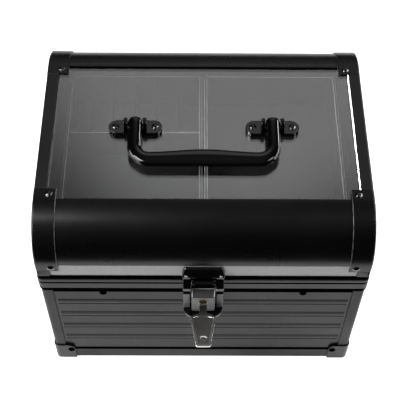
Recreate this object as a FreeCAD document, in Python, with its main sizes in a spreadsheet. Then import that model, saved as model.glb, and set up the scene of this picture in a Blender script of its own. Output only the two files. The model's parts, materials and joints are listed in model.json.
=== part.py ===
import FreeCAD, Part
import Sketcher
import math
import os
import re

from FreeCAD import Vector

# Driving dimensions in millimetres: name, size, what it measures
DIMENSIONS = [
    ("case_width", 300.0, "across the corner posts"),
    ("case_depth", 242.0, "across the corner posts, front to back"),
    ("case_height", 229.0, "floor to the top edge angles"),
    ("split_height", 157.5, "floor to the joint between lid and base"),
    ("board_thick", 4.0, "side, floor and lid boards"),
    ("angle_thick", 1.2, "edge angles and corner posts"),
    ("angle_leg", 11.0, "visible leg of posts and top edge angles"),
    ("edge_round", 2.2, "outside round of the lid's edge angles"),
    ("seat_gap", 0.3, "clearance about a seated or swinging piece"),
    ("corner_round", 4.0, "outside round of the upright corners"),
    ("bead_height", 10.0, "one pressed bead on a base board"),
    ("bead_proud", 0.9, "how far a bead stands off its board"),
    ("bead_pitch", 24.5, "bead to bead"),
    ("bead_first", 28.5, "floor to the lowest bead"),
    ("bead_clear", 0.5, "bead end to the corner post"),
    ("bottom_leg", 17.6, "height of the bottom angles from the floor"),
    ("cap_thick", 1.2, "bottom corner caps"),
    ("cap_width", 21.0, "bottom corner cap along the floor"),
    ("cap_height", 27.5, "bottom corner cap up the post"),
    ("cap_lug", 7.0, "round of a cap's riveted lug"),
    ("cap_rivet_in", 16.0, "case corner to a cap's front rivet"),
    ("cap_rivet_back", 13.0, "case corner to a cap's side rivet"),
    ("cap_rivet_down", 8.5, "top of a cap to its rivets"),
    ("rim_proud", 1.0, "rim beyond the corner posts"),
    ("rim_web", 2.0, "face of a rim at the split"),
    ("rim_leg", 1.5, "inner leg of a rim"),
    ("rim_step", 0.6, "shadow step of a rim, inside the posts"),
    ("base_rim", 12.5, "height of the base rim's outer band"),
    ("base_rim_step", 3.0, "height of the base rim's shadow step"),
    ("lid_rim", 5.7, "height of the lid rim's outer band"),
    ("lid_rim_step", 4.7, "height of the lid rim's shadow step"),
    ("nose_radius", 43.0, "outside of the rounded lid edges"),
    ("nose_thick", 3.0, "wall of the rounded lid edges"),
    ("window_thick", 3.0, "clear top panel"),
    ("brace_thick", 1.3, "curved lid corner brace"),
    ("brace_width", 20.5, "leg of a curved lid corner brace"),
    ("brace_reach", 10.0, "brace onto the flat top"),
    ("brace_foot", 177.0, "floor to the lower end of a brace"),
    ("brace_tail", 12.0, "narrow edge angle below a brace"),
    ("brace_edge", 1.2, "eased outer edge of a brace"),
    ("brace_rivet_in", 14.0, "case corner to a brace's rivets"),
    ("brace_rivet_up", 5.5, "lower end of a brace to its rivets"),
    ("brace_rivet_end", 4.0, "end of the rounded edge to the top rivets"),
    ("brace_rivet_down", 13.0, "top to the upper side rivets"),
    ("rivet_radius", 3.4, "case rivet head"),
    ("rivet_slope", 40.0, "lean of a rivet head's sides, in degrees"),
    ("rivet_rise", 1.6, "case rivet head"),
    ("hinge_place", 58.0, "centre to each rear hinge"),
    ("hinge_width", 50.0, "length of a hinge"),
    ("knuckle_radius", 3.5, "hinge barrel"),
    ("knuckle_half", 8.6, "half of the lid's barrel"),
    ("knuckle_gap", 0.4, "between neighbouring barrels"),
    ("pin_radius", 1.5, "hinge and hasp pins"),
    ("pin_play", 0.05, "radial play of a pin in its barrel"),
    ("leaf_thick", 1.6, "hinge leaf"),
    ("leaf_gap", 0.2, "hinge leaf to the edge of a rim"),
    ("leaf_jog", 1.0, "start of a leaf's jog past the rim"),
    ("leaf_lap", 9.0, "base leaf below the rim"),
    ("handle_half", 62.75, "centre to a handle leg"),
    ("handle_leg", 12.8, "width of a handle leg"),
    ("handle_thick", 11.0, "thickness of the handle"),
    ("handle_rise", 9.0, "handle pivot above the top panel"),
    ("handle_reach", 48.0, "pivot to the front of the grip"),
    ("handle_bend", 18.0, "outside of the handle's bends"),
    ("handle_inner_bend", 9.0, "inside of the handle's bends"),
    ("grip_end", 11.0, "grip depth beside the bends"),
    ("grip_middle", 15.5, "grip depth at the middle"),
    ("grip_ease", 3.2, "eased edges of the moulded handle"),
    ("foot_length", 49.0, "handle bracket along the top"),
    ("foot_depth", 15.5, "handle bracket front to back"),
    ("foot_thick", 3.0, "handle bracket foot below the handle"),
    ("foot_ear", 4.5, "riveted ear of a handle bracket's foot"),
    ("cheek_thick", 3.6, "handle bracket cheek"),
    ("cheek_radius", 5.2, "round top of a cheek"),
    ("cheek_flare", 1.3, "foot of a cheek beyond its round top"),
    ("leg_gap", 0.5, "handle leg to a cheek"),
    ("foot_rivet_in", 6.45, "end of a bracket's foot to its rivet"),
    ("handle_pin", 2.0, "radius of a handle pin"),
    ("latch_half", 19.8, "half width of the lid plate"),
    ("latch_top", 185.5, "floor to the top of the lid plate"),
    ("latch_foot", 174.0, "floor to the lower edge of the lid plate"),
    ("latch_face", 6.0, "lid plate in front of the posts"),
    ("latch_shoulder", 2.4, "taper of the lid plate's sides"),
    ("latch_crown", 1.2, "lid plate at its thin upper edge"),
    ("latch_slope", 7.5, "height of the lid plate's sloped front"),
    ("ear_inset", 1.2, "outer face of an ear inside the lid plate's side"),
    ("ear_drop", 11.6, "hasp pin to the lower end of an ear"),
    ("ear_gap", 0.25, "ear to the hasp"),
    ("hasp_pivot_height", 165.6, "floor to the hasp pin"),
    ("hasp_pivot_front", 5.4, "hasp pin in front of the posts"),
    ("hasp_barrel", 4.0, "radius of the hasp's barrel"),
    ("boss_half", 10.75, "half width of the lock boss"),
    ("boss_front", 10.0, "lock boss in front of the posts"),
    ("boss_top", 155.0, "floor to the top of the lock boss"),
    ("boss_bottom", 121.0, "floor to the bottom of the lock boss"),
    ("boss_back", 1.5, "back of the hasp in front of the posts"),
    ("boss_depth", 5.5, "front to back of the lock boss's sloped top"),
    ("boss_slope", 7.3, "height of the lock boss's sloped top"),
    ("boss_round", 3.0, "lower corners of the lock boss"),
    ("boss_lap", 1.0, "strap into the boss"),
    ("strap_thick", 2.6, "hasp strap above the boss"),
    ("lock_height", 138.4, "floor to the lock's axis"),
    ("lock_radius", 4.5, "lock cylinder"),
    ("lock_proud", 0.6, "lock cylinder beyond the boss"),
    ("cam_length", 14.6, "lock axis to the end of the cam"),
    ("cam_width", 4.0, "cam"),
    ("cam_thick", 1.2, "cam"),
    ("cam_gap", 0.6, "cam to its recess in the boss"),
    ("cam_room", 1.0, "cam to its pocket in the keeper"),
    ("cam_swing", 9.2, "lock axis to the lower edge of the keeper's pocket"),
    ("cam_pocket", 2.6, "depth of the keeper's pocket"),
    ("keeper_half", 18.4, "half width of the keeper"),
    ("rail_inner", 12.4, "centre to a keeper rail"),
    ("rail_front", 5.0, "keeper rail in front of the posts"),
    ("rail_rise", 2.4, "keeper rail above the shadow step's edge"),
    ("rail_lap", 1.0, "keeper rail into the lip"),
    ("lip_front", 15.0, "keeper lip in front of the posts"),
    ("lip_top", 119.0, "floor to the keeper's lip"),
    ("lip_thick", 3.0, "keeper lip"),
    ("lip_round", 10.0, "plan corner of the keeper lip"),
    ("keeper_plate", 2.0, "keeper back plate"),
    ("keeper_bottom", 110.0, "floor to the keeper's lower edge"),
    ("key_thick", 2.0, "key blade and bow web"),
    ("key_border", 0.5, "raised border of the bow, each face"),
    ("key_shank", 7.0, "width of the key's blade"),
    ("key_shoulder", 23.6, "widest part of the bow"),
    ("key_tip", 13.0, "far end of the bow"),
    ("key_slope", 3.0, "shoulder of the bow to its neck"),
    ("key_lap", 1.0, "blade into the bow"),
    ("key_round", 1.6, "corner of the bow"),
    ("key_frame", 2.2, "width of the bow's raised border"),
    ("key_bow_start", 13.0, "lock face to the bow"),
    ("key_bow_end", 45.0, "lock face to the far end of the bow"),
    ("key_hole", 2.7, "radius of the key ring hole"),
    ("key_hole_in", 7.4, "far end of the bow to the ring hole"),
    ("blade_depth", 6.0, "key blade inside the lock"),
    ("key_play", 0.1, "key blade in its slot, each side"),
    ("tray_half_length", 109.5, "middle to a tray end"),
    ("tray_outer", 134.7, "centre to a tray's outer side"),
    ("tray_inner", 1.2, "centre to a tray's inner side"),
    ("tray_bottom", 133.5, "floor to the tray's underside"),
    ("tray_height", 45.0, "tray"),
    ("tray_wall", 2.7, "tray walls"),
    ("tray_floor", 2.2, "tray floor"),
    ("tray_corner", 5.0, "round of the tray's corners"),
    ("tray_freeboard", 6.0, "tray rim above its dividers"),
    ("divider_place", 39.0, "middle to the tray's cross divider"),
    ("divider_thick", 1.8, "cross divider"),
    ("fin_thick", 1.6, "fins between the lipstick slots"),
    ("slot_count", 6.0, "lipstick slots"),
    ("arm_length", 60.0, "pivot to pivot of a tray arm"),
    ("arm_round", 5.0, "half width of a tray arm"),
    ("arm_thick", 1.5, "tray arm"),
    ("arm_gap", 1.3, "arm to the tray's end"),
    ("stud_radius", 2.5, "tray and bracket studs"),
    ("stud_proud", 0.1, "tray stud beyond its arm"),
    ("bracket_gap", 0.5, "tray bracket to an arm"),
    ("bracket_edge", 2.0, "tray bracket beyond an arm's end"),
    ("bracket_drop", 6.5, "tray bracket below its rivet"),
    ("upper_pivot_across", 100.0, "centre to the upper arm's bracket stud"),
    ("upper_pivot_height", 152.0, "floor to the upper arm's stud"),
    ("lower_pivot_across", 86.0, "centre to the lower arm's bracket stud"),
    ("lower_pivot_height", 140.0, "floor to the lower arm's stud"),
    ("bracket_rivet_across", 93.0, "centre to a tray bracket's rivet"),
    ("bracket_rivet_height", 135.5, "floor to a tray bracket's rivet"),
]
ALIASES = {name for name, size, note in DIMENSIONS}

# Faces that several pieces share, as formulas of the sheet
HALF_W = "(case_width / 2)"
HALF_D = "(case_depth / 2)"
SKIN_W = "(case_width / 2 - angle_thick)"
SKIN_D = "(case_depth / 2 - angle_thick)"
IN_W = "(case_width / 2 - angle_thick - board_thick)"
IN_D = "(case_depth / 2 - angle_thick - board_thick)"
SKIN_TOP = "(case_height - angle_thick)"
FLOOR = "(cap_thick + angle_thick)"
NOSE_Y = "(case_depth / 2 - angle_thick - nose_radius)"
NOSE_Z = "(case_height - angle_thick - nose_radius)"
HINGE_Y = "(case_depth / 2 + rim_proud + knuckle_radius + seat_gap)"
BRACE = "(nose_radius + brace_thick)"
LID_EDGE = "(split_height + lid_rim + lid_rim_step)"
BASE_EDGE = "(split_height - base_rim - base_rim_step)"
LATCH_Y = "(-case_depth / 2 - hasp_pivot_front)"
HANDLE_Z = "(case_height - angle_thick + handle_rise)"
LOCK_FACE = "(case_depth / 2 + boss_front)"
ARM_FACE = "(tray_half_length + arm_gap)"
TRAY_TOP = "(tray_bottom + tray_height)"

doc = FreeCAD.newDocument("train_case")
sheet = doc.addObject("Spreadsheet::Sheet", "Dimensions")
for row, (name, size, note) in enumerate(DIMENSIONS, 1):
    sheet.set(f"A{row}", name)
    sheet.set(f"B{row}", str(size))
    sheet.set(f"C{row}", note)
    sheet.setAlias(f"B{row}", name)
doc.recompute()

nodes = []


def bound(formula):
    """A formula of sheet aliases, written as other objects read it."""
    return re.sub(r"[a-z_]+", lambda m: "Dimensions." + m[0] if m[0] in ALIASES else m[0], formula)


def value(formula):
    """The number that a formula of sheet aliases gives."""
    return float(sheet.evalExpression(bound(formula)))


def minus(formula):
    return f"-({formula})"


def new_body(label):
    return doc.addObject("PartDesign::Body", label)


def keep(piece):
    """Hand a finished piece in under its label."""
    nodes.append(piece)
    return piece


def sketch_on(body, plane, offset):
    """Sketch on a plane parallel to one of the body's origin planes."""
    sketch = body.newObject("Sketcher::SketchObject", body.Name + "_sketch")
    origin = [feature for feature in body.Origin.OriginFeatures if feature.Role == plane][0]
    sketch.AttachmentSupport = [(origin, "")]
    sketch.MapMode = "FlatFace"
    sketch.setExpression("AttachmentOffset.Base.z", bound(offset))
    return sketch


def bind(sketch, kind, *place_and_formula):
    """Dimension held by a formula."""
    *place, formula = place_and_formula
    index = sketch.addConstraint(Sketcher.Constraint(kind, *place, value(formula)))
    sketch.setExpression(f"Constraints[{index}]", bound(formula))


def arc_between(start, end, radius, turn):
    """Arc of under a half circle; turn is 1 to the left and -1 to the right."""
    chord = end - start
    rise = math.sqrt(max(radius ** 2 - (chord.Length / 2) ** 2, 0.0))
    side = Vector(-chord.y, chord.x, 0).normalize() * turn
    centre = (start + end) / 2 + side * rise
    first, last = (start, end) if turn > 0 else (end, start)
    angles = [math.atan2(p.y - centre.y, p.x - centre.x) for p in (first, last)]
    return Part.ArcOfCircle(Part.Circle(centre, Vector(0, 0, 1), radius), *angles)


def draw(sketch, outline):
    """Closed outline of (x, y) corners; (x, y, radius, turn) leaves its corner on an arc."""
    if outline[0] == "circle":
        circle = Part.Circle(Vector(value(outline[1]), value(outline[2]), 0), Vector(0, 0, 1),
                             value(outline[3]))
        index = sketch.addGeometry(circle)
        bind(sketch, "DistanceX", index, 3, outline[1])
        bind(sketch, "DistanceY", index, 3, outline[2])
        bind(sketch, "Radius", index, outline[3])
        return
    corners = [Vector(value(corner[0]), value(corner[1]), 0) for corner in outline]
    edges = []
    for index, corner in enumerate(outline):
        start, end = corners[index], corners[(index + 1) % len(corners)]
        if len(corner) == 2:
            edges.append((sketch.addGeometry(Part.LineSegment(start, end)), 1, 2))
        else:
            leave, arrive = (1, 2) if corner[3] > 0 else (2, 1)
            arc = arc_between(start, end, value(corner[2]), corner[3])
            edges.append((sketch.addGeometry(arc), leave, arrive))
    for index, (edge, leave, arrive) in enumerate(edges):
        following, enter, _ = edges[(index + 1) % len(edges)]
        sketch.addConstraint(Sketcher.Constraint("Coincident", edge, arrive, following, enter))
    for corner, (edge, leave, arrive) in zip(outline, edges):
        bind(sketch, "DistanceX", edge, leave, corner[0])
        bind(sketch, "DistanceY", edge, leave, corner[1])
        if len(corner) == 4:
            bind(sketch, "Radius", edge, corner[2])


def prism(body, kind, plane, start, length, *outlines):
    """Pad or Pocket of outlines, from a plane's offset along its normal."""
    sketch = sketch_on(body, plane, start)
    for outline in outlines:
        draw(sketch, outline)
    feature = body.newObject("PartDesign::" + kind, f"{body.Name}_{kind}")
    feature.Profile = sketch
    feature.setExpression("Length", bound(length))
    feature.Reversed = kind == "Pocket"
    return feature


def ease_edges(body, kind, size, wanted):
    """Fillet or Chamfer on the edges whose middle point passes a test."""
    doc.recompute()
    base = body.Tip
    names = []
    for number, edge in enumerate(base.Shape.Edges, 1):
        middle = edge.valueAt((edge.FirstParameter + edge.LastParameter) / 2)
        if wanted(edge, middle):
            names.append(f"Edge{number}")
    feature = body.newObject("PartDesign::" + kind, f"{body.Name}_{kind}")
    feature.Base = (base, names)
    feature.setExpression("Radius" if kind == "Fillet" else "Size", bound(size))


def rows(body, feature, axis, length, count):
    """Repeat a feature in a straight row."""
    pattern = body.newObject("PartDesign::LinearPattern", body.Name + "_row")
    pattern.Originals = [feature]
    pattern.Direction = (feature.Profile[0], [axis])
    pattern.setExpression("Length", bound(length))
    pattern.setExpression("Occurrences", bound(count))
    body.Tip = pattern
    return pattern


def rectangle(left, low, right, high):
    return [(left, low), (right, low), (right, high), (left, high)]


def circle(across, up, radius):
    return ("circle", across, up, radius)


def eye(across, up, radius):
    """Eight-sided hole whose flats stand a radius from its centre."""
    flat = f"({radius}) * (sqrt(2) - 1)"
    corners = [(radius, flat), (flat, radius), (minus(flat), radius), (minus(radius), flat)]
    corners += [(minus(x), minus(y)) for x, y in corners]
    return [(f"{across} + {x}", f"{up} + {y}") for x, y in corners]


def stud(across, up, radius):
    """Eight-sided pin whose corners stand a radius from its centre."""
    half = f"({radius}) / sqrt(2)"
    corners = [(radius, "0"), (half, half), ("0", radius), (minus(half), half)]
    corners += [(minus(x), minus(y)) for x, y in corners]
    return [(f"{across} + {x}", f"{up} + {y}") for x, y in corners]


def near(first, formula):
    return abs(first - value(formula)) < 0.01


def box(label, low, size):
    """Plain block between bound corners."""
    block = doc.addObject("Part::Box", label)
    for axis, formula in zip("xyz", low):
        block.setExpression("Placement.Base." + axis, bound(formula))
    for edge, formula in zip(("Length", "Width", "Height"), size):
        block.setExpression(edge, bound(formula))
    return block


def rod(label, start, radius, length):
    """Round bar along X."""
    bar = doc.addObject("Part::Cylinder", label)
    bar.Placement.Rotation = FreeCAD.Rotation(Vector(0, 1, 0), 90)
    for axis, formula in zip("xyz", start):
        bar.setExpression("Placement.Base." + axis, bound(formula))
    bar.setExpression("Radius", bound(radius))
    bar.setExpression("Height", bound(length))
    return bar


def mirrored(source, label, normal):
    copy = doc.addObject("Part::Mirroring", label)
    copy.Source = source
    copy.Normal = normal
    return copy


def group(label, members):
    """Like pieces that share one node."""
    joined = doc.addObject("Part::Compound", label)
    joined.Links = members
    return keep(joined)


ACROSS = Vector(1, 0, 0)
ALONG = Vector(0, 1, 0)


def at_four_corners(piece, name):
    """Keep a rear right piece and its three mirror images."""
    keep(piece)
    keep(mirrored(piece, name + "_rear_left", ACROSS))
    front = keep(mirrored(piece, name + "_front_right", ALONG))
    keep(mirrored(front, name + "_front_left", ACROSS))


# Base boards with pressed beads

def beaded_board(label, plane, start, half, bead_plane, outer, turn):
    """Upright board with a row of rounded beads on its outer face."""
    body = new_body(label)
    top = "split_height - rim_web"
    prism(body, "Pad", plane, start, "board_thick", rectangle(minus(half), FLOOR, half, top))
    low, high = "bead_first - bead_height / 2", "bead_first + bead_height / 2"
    radius = "(bead_height ^ 2 / 4 + bead_proud ^ 2) / (2 * bead_proud)"
    reach = f"({half} - angle_leg - bead_clear)"
    bead = prism(body, "Pad", bead_plane, minus(reach), f"2 * {reach}",
                 [(outer, low, radius, turn), (outer, high)])
    rows(body, bead, "V_Axis", "4 * bead_pitch", "5")
    return keep(body)


def clear_corners(body, ends, sides, low, high):
    """Take a board's outer upright corners back to the round of the case's corners."""
    turn_x, turn_y = f"({HALF_W} - corner_round)", f"({HALF_D} - corner_round)"
    bend = "(corner_round - angle_thick)"
    for across in ends:
        for along in sides:
            end_x, end_y = f"{across} * {SKIN_W}", f"{along} * {SKIN_D}"
            prism(body, "Pocket", "XY_Plane", low, f"{high} - {low}",
                  [(end_x, end_y), (f"{across} * {turn_x}", end_y, bend, -across * along),
                   (end_x, f"{along} * {turn_y}")])


def base_boards():
    front = beaded_board("base_front_panel", "XZ_Plane", IN_D, SKIN_W, "YZ_Plane", minus(SKIN_D), -1)
    seat = "keeper_half + seat_gap"
    prism(front, "Pocket", "XZ_Plane", SKIN_D, "2 * bead_proud",
          rectangle(minus(seat), "keeper_bottom - seat_gap", seat, BASE_EDGE))
    rear = beaded_board("base_rear_panel", "XZ_Plane", minus(SKIN_D), SKIN_W, "YZ_Plane", SKIN_D, 1)
    for board, side in ((front, -1), (rear, 1)):
        clear_corners(board, (-1, 1), (side,), FLOOR, "(split_height - rim_web)")
    beaded_board("base_right_panel", "YZ_Plane", IN_W, IN_D, "XZ_Plane", SKIN_W, 1)
    beaded_board("base_left_panel", "YZ_Plane", minus(SKIN_W), IN_D, "XZ_Plane", minus(SKIN_W), -1)
    keep(box("base_floor_panel", (minus(IN_W), minus(IN_D), FLOOR),
             (f"2 * {IN_W}", f"2 * {IN_D}", "board_thick")))


# Corner posts and bottom corner caps

def corner_posts():
    post = new_body("corner_post_rear_right")
    leg_x, leg_y = f"{HALF_W} - angle_leg", f"{HALF_D} - angle_leg"
    turn_x, turn_y = f"{HALF_W} - corner_round", f"{HALF_D} - corner_round"
    outline = [(leg_x, SKIN_D), (turn_x, SKIN_D, "corner_round - angle_thick", -1), (SKIN_W, turn_y),
               (SKIN_W, leg_y), (HALF_W, leg_y), (HALF_W, turn_y, "corner_round", 1), (turn_x, HALF_D),
               (leg_x, HALF_D)]
    prism(post, "Pad", "XY_Plane", "bottom_leg", f"{BASE_EDGE} - bottom_leg", outline)
    at_four_corners(post, "corner_post")


def cap_plan(inset, reach):
    """Plan of a corner cap's outer or inner face."""
    near_x, near_y = f"{HALF_W} + cap_thick - {reach}", f"{HALF_D} + cap_thick - {reach}"
    far_x, far_y = f"{HALF_W} + {inset}", f"{HALF_D} + {inset}"
    return [(near_x, near_y), (far_x, near_y),
            (far_x, f"{HALF_D} - corner_round", f"corner_round + {inset}", 1),
            (f"{HALF_W} - corner_round", far_y), (near_x, far_y)]


def bottom_corners():
    cap = new_body("bottom_corner_rear_right")
    prism(cap, "Pad", "XY_Plane", "0", "cap_height", cap_plan("cap_thick", "cap_width"))
    prism(cap, "Pocket", "XY_Plane", "cap_thick", "cap_height", cap_plan("0", "(cap_width + cap_thick)"))
    ease_edges(cap, "Fillet", "cap_lug", lambda edge, middle: edge.Length < value("cap_thick") + 0.01
                and near(middle.z, "cap_height"))
    at_four_corners(cap, "bottom_corner")


# Mitred lengths: bottom angles and the two rims

RUNS = {
    "front": (HALF_W, HALF_D, lambda u, v: (u, minus(v)), -1),
    "rear": (HALF_W, HALF_D, lambda u, v: (u, v), 1),
    "left": (HALF_D, HALF_W, lambda u, v: (minus(v), u), 1),
    "right": (HALF_D, HALF_W, lambda u, v: (v, u), -1),
}


def mitred_edge(run, offset, way):
    """Edge of a run at an offset from the case's face, from one mitre to the other."""
    half, across, place, hand = RUNS[run]
    level, bend = f"{across} + {offset}", f"(corner_round + {offset})"
    if value(bend) <= 0:
        return [place(f"{side} * ({half} + {offset})", level) for side in (-way, way)]
    turn_u, turn_v = f"({half} - corner_round)", f"({across} - corner_round)"
    mitre_u, mitre_v = f"({turn_u} + {bend} / sqrt(2))", f"{turn_v} + {bend} / sqrt(2)"
    return [place(f"{-way} * {mitre_u}", mitre_v) + (bend, -hand * way),
            place(f"{-way} * {turn_u}", level),
            place(f"{way} * {turn_u}", level) + (bend, -hand * way),
            place(f"{way} * {mitre_u}", mitre_v)]


def mitred_length(label, run, bands):
    """Frame length with mitred ends, from bands of (outer, inner, low, high) about the case's faces."""
    body = new_body(label)
    for outer, inner, low, high in bands:
        outline = mitred_edge(run, outer, 1) + mitred_edge(run, minus(inner), -1)
        prism(body, "Pad", "XY_Plane", low, f"({high}) - ({low})", outline)
    return body


def bottom_angles():
    bands = [("0", "angle_thick", FLOOR, "bottom_leg"), ("0", "bottom_leg", "cap_thick", FLOOR)]
    group("bottom_angles", [mitred_length("bottom_angle_" + run, run, bands) for run in RUNS])


def rims():
    board_back = "(angle_thick + board_thick)"
    deep = "(angle_thick + board_thick + rim_leg)"
    base_low, base_web = "(split_height - base_rim)", "(split_height - rim_web)"
    base = [("rim_proud", deep, base_web, "split_height"),
            ("rim_proud", "angle_thick", base_low, base_web),
            ("(-rim_step)", "angle_thick", BASE_EDGE, base_low),
            (minus(board_back), deep, base_low, base_web)]
    lid_web, lid_high = "(split_height + rim_web)", "(split_height + lid_rim)"
    lid = [("rim_proud", deep, "split_height", lid_web),
           ("rim_proud", "angle_thick", lid_web, lid_high),
           ("(-rim_step)", "angle_thick", lid_high, LID_EDGE),
           (minus(board_back), deep, lid_web, LID_EDGE)]
    for run in RUNS:
        keep(mitred_length("base_rim_" + run, run, base))
        keep(mitred_length("lid_rim_" + run, run, lid))


# Lid shell

def lid_noses():
    front = new_body("lid_front_bullnose")
    inner = "(nose_radius - nose_thick)"
    prism(front, "Pad", "YZ_Plane", minus(IN_W), f"2 * {IN_W}",
          [(minus(f"{NOSE_Y} + nose_radius"), NOSE_Z), (minus(f"{NOSE_Y} + {inner}"), NOSE_Z, inner, -1),
           (minus(NOSE_Y), f"{NOSE_Z} + {inner}"),
           (minus(NOSE_Y), SKIN_TOP, "nose_radius", 1)])
    keep(front)
    keep(mirrored(front, "lid_rear_bullnose", ALONG))


def lid_boards():
    low = "(split_height + rim_web)"
    keep(box("lid_front_panel", (minus(IN_W), minus(SKIN_D), low),
             (f"2 * {IN_W}", "board_thick", f"{NOSE_Z} - {low}")))
    keep(box("lid_rear_panel", (minus(IN_W), IN_D, low),
             (f"2 * {IN_W}", "board_thick", f"{NOSE_Z} - {low}")))
    right = new_body("lid_right_panel")
    prism(right, "Pad", "YZ_Plane", IN_W, "board_thick",
          [(minus(SKIN_D), low), (SKIN_D, low), (SKIN_D, NOSE_Z, "nose_radius", 1), (NOSE_Y, SKIN_TOP),
           (minus(NOSE_Y), SKIN_TOP, "nose_radius", 1), (minus(SKIN_D), NOSE_Z)])
    clear_corners(right, (1,), (-1, 1), low, LID_EDGE)
    keep(right)
    keep(mirrored(right, "lid_left_panel", ACROSS))
    keep(box("lid_top_panel", (minus(IN_W), minus(NOSE_Y), f"{SKIN_TOP} - window_thick"),
             (f"2 * {IN_W}", f"2 * {NOSE_Y}", "window_thick")))


def lid_top_edges():
    right = new_body("lid_top_edge_right")
    length = f"({NOSE_Y} - brace_reach)"
    leg_x, leg_z = f"{HALF_W} - angle_leg", "case_height - angle_leg"
    prism(right, "Pad", "XZ_Plane", minus(length), f"2 * {length}",
          [(leg_x, SKIN_TOP), (SKIN_W, SKIN_TOP), (SKIN_W, leg_z), (HALF_W, leg_z),
           (HALF_W, "case_height - edge_round", "edge_round", 1),
           (f"{HALF_W} - edge_round", "case_height"), (leg_x, "case_height")])
    keep(right)
    keep(mirrored(right, "lid_top_edge_left", ACROSS))


def brace_band(depth, inside):
    """Band that follows the rounded lid edge, from the brace's outside to a depth inside it."""
    out_y, in_y = f"({NOSE_Y} + {BRACE})", f"({NOSE_Y} + {BRACE} - {depth})"
    out_z, in_z = f"({NOSE_Z} + {BRACE})", f"({NOSE_Z} + {BRACE} - {depth})"
    end = f"({NOSE_Y} - brace_reach)"
    return [(in_y, "brace_foot"), (out_y, "brace_foot"), (out_y, NOSE_Z, BRACE, 1), (NOSE_Y, out_z),
            (end, out_z), (end, in_z), (NOSE_Y, in_z) + inside, (in_y, NOSE_Z)]


def lid_corners():
    brace = new_body("lid_corner_rear_right")
    outer = f"({SKIN_W} + brace_thick)"
    prism(brace, "Pad", "YZ_Plane", f"{outer} - brace_width", "brace_width",
          brace_band("brace_thick", ("nose_radius", -1)))
    prism(brace, "Pad", "YZ_Plane", SKIN_W, "brace_thick", brace_band("brace_width", ()))
    tail_x, tail_y = f"{HALF_W} - brace_tail", f"{HALF_D} - brace_tail"
    prism(brace, "Pad", "XY_Plane", LID_EDGE, f"brace_foot - {LID_EDGE}",
          [(tail_x, SKIN_D), (SKIN_W, SKIN_D), (SKIN_W, tail_y), (HALF_W, tail_y),
           (HALF_W, f"{HALF_D} - edge_round", "edge_round", 1),
           (f"{HALF_W} - edge_round", HALF_D), (tail_x, HALF_D)])
    ease_edges(brace, "Chamfer", "brace_edge", lambda edge, middle: near(middle.x, outer)
                and (near(middle.y, f"{NOSE_Y} + {BRACE}") or near(middle.z, f"{NOSE_Z} + {BRACE}")
                     or near(math.hypot(middle.y - value(NOSE_Y), middle.z - value(NOSE_Z)), BRACE)))
    at_four_corners(brace, "lid_corner")


# Rear hinges

def hinge_leaf(label, low, rows_of_leaf, barrels):
    """Jogged leaf on rim and board, with its barrels about the hinge line."""
    body = new_body(label)
    half = "(hinge_width / 2)"
    prism(body, "Pad", "YZ_Plane", f"hinge_place - {half}", "hinge_width", rows_of_leaf)
    for start, length in barrels:
        block = rectangle(f"{HALF_D} + rim_proud", low, HINGE_Y, f"{low} + knuckle_radius + knuckle_gap")
        prism(body, "Pad", "YZ_Plane", f"hinge_place + {start}", length, block)
        prism(body, "Pad", "YZ_Plane", f"hinge_place + {start}", length,
              circle(HINGE_Y, "split_height", "knuckle_radius"))
    return body


def rear_hinges():
    rim, rim_front = f"{HALF_D} + rim_proud", f"{HALF_D} + rim_proud + leaf_thick"
    face, face_front = SKIN_D, f"{SKIN_D} + leaf_thick"
    half = "(hinge_width / 2)"
    lid_low = "(split_height + knuckle_radius + knuckle_gap)"
    lid_top, lid_seat = f"{NOSE_Z} - leaf_jog", f"{LID_EDGE} + leaf_gap"
    lid_leaf = [(rim, lid_low), (rim_front, lid_low), (rim_front, f"{LID_EDGE} + leaf_jog"),
                (face_front, f"{LID_EDGE} + 3 * leaf_jog"), (face_front, lid_top), (face, lid_top),
                (face, lid_seat), (rim, lid_seat)]
    base_high = "(split_height - knuckle_radius - knuckle_gap)"
    base_end, base_seat = f"{BASE_EDGE} - leaf_lap", f"{BASE_EDGE} - leaf_gap"
    base_leaf = [(rim, base_high), (rim, base_seat), (face, base_seat), (face, base_end),
                 (face_front, base_end), (face_front, f"{BASE_EDGE} - 3 * leaf_jog"),
                 (rim_front, f"{BASE_EDGE} - leaf_jog"), (rim_front, base_high)]
    side = f"({half} - knuckle_half - knuckle_gap)"
    lid = hinge_leaf("hinge_lid_leaf", "split_height", lid_leaf, [("(-knuckle_half)", "2 * knuckle_half")])
    base = hinge_leaf("hinge_base_leaf", base_high, base_leaf,
                      [(f"(-{half})", side), ("(knuckle_half + knuckle_gap)", side)])
    prism(lid, "Pocket", "YZ_Plane", f"hinge_place - {half}", "hinge_width",
          circle(HINGE_Y, "split_height", "pin_radius + pin_play"))
    reach = "(knuckle_half + knuckle_gap)"
    pin = rod("hinge_pin", (f"hinge_place - {reach}", HINGE_Y, "split_height"), "pin_radius",
              f"2 * {reach}")
    for label, piece in (("hinge_lid_leaves", lid), ("hinge_base_leaves", base), ("hinge_pins", pin)):
        group(label, [piece, mirrored(piece, piece.Label + "_left", ACROSS)])


# Carrying handle

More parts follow.
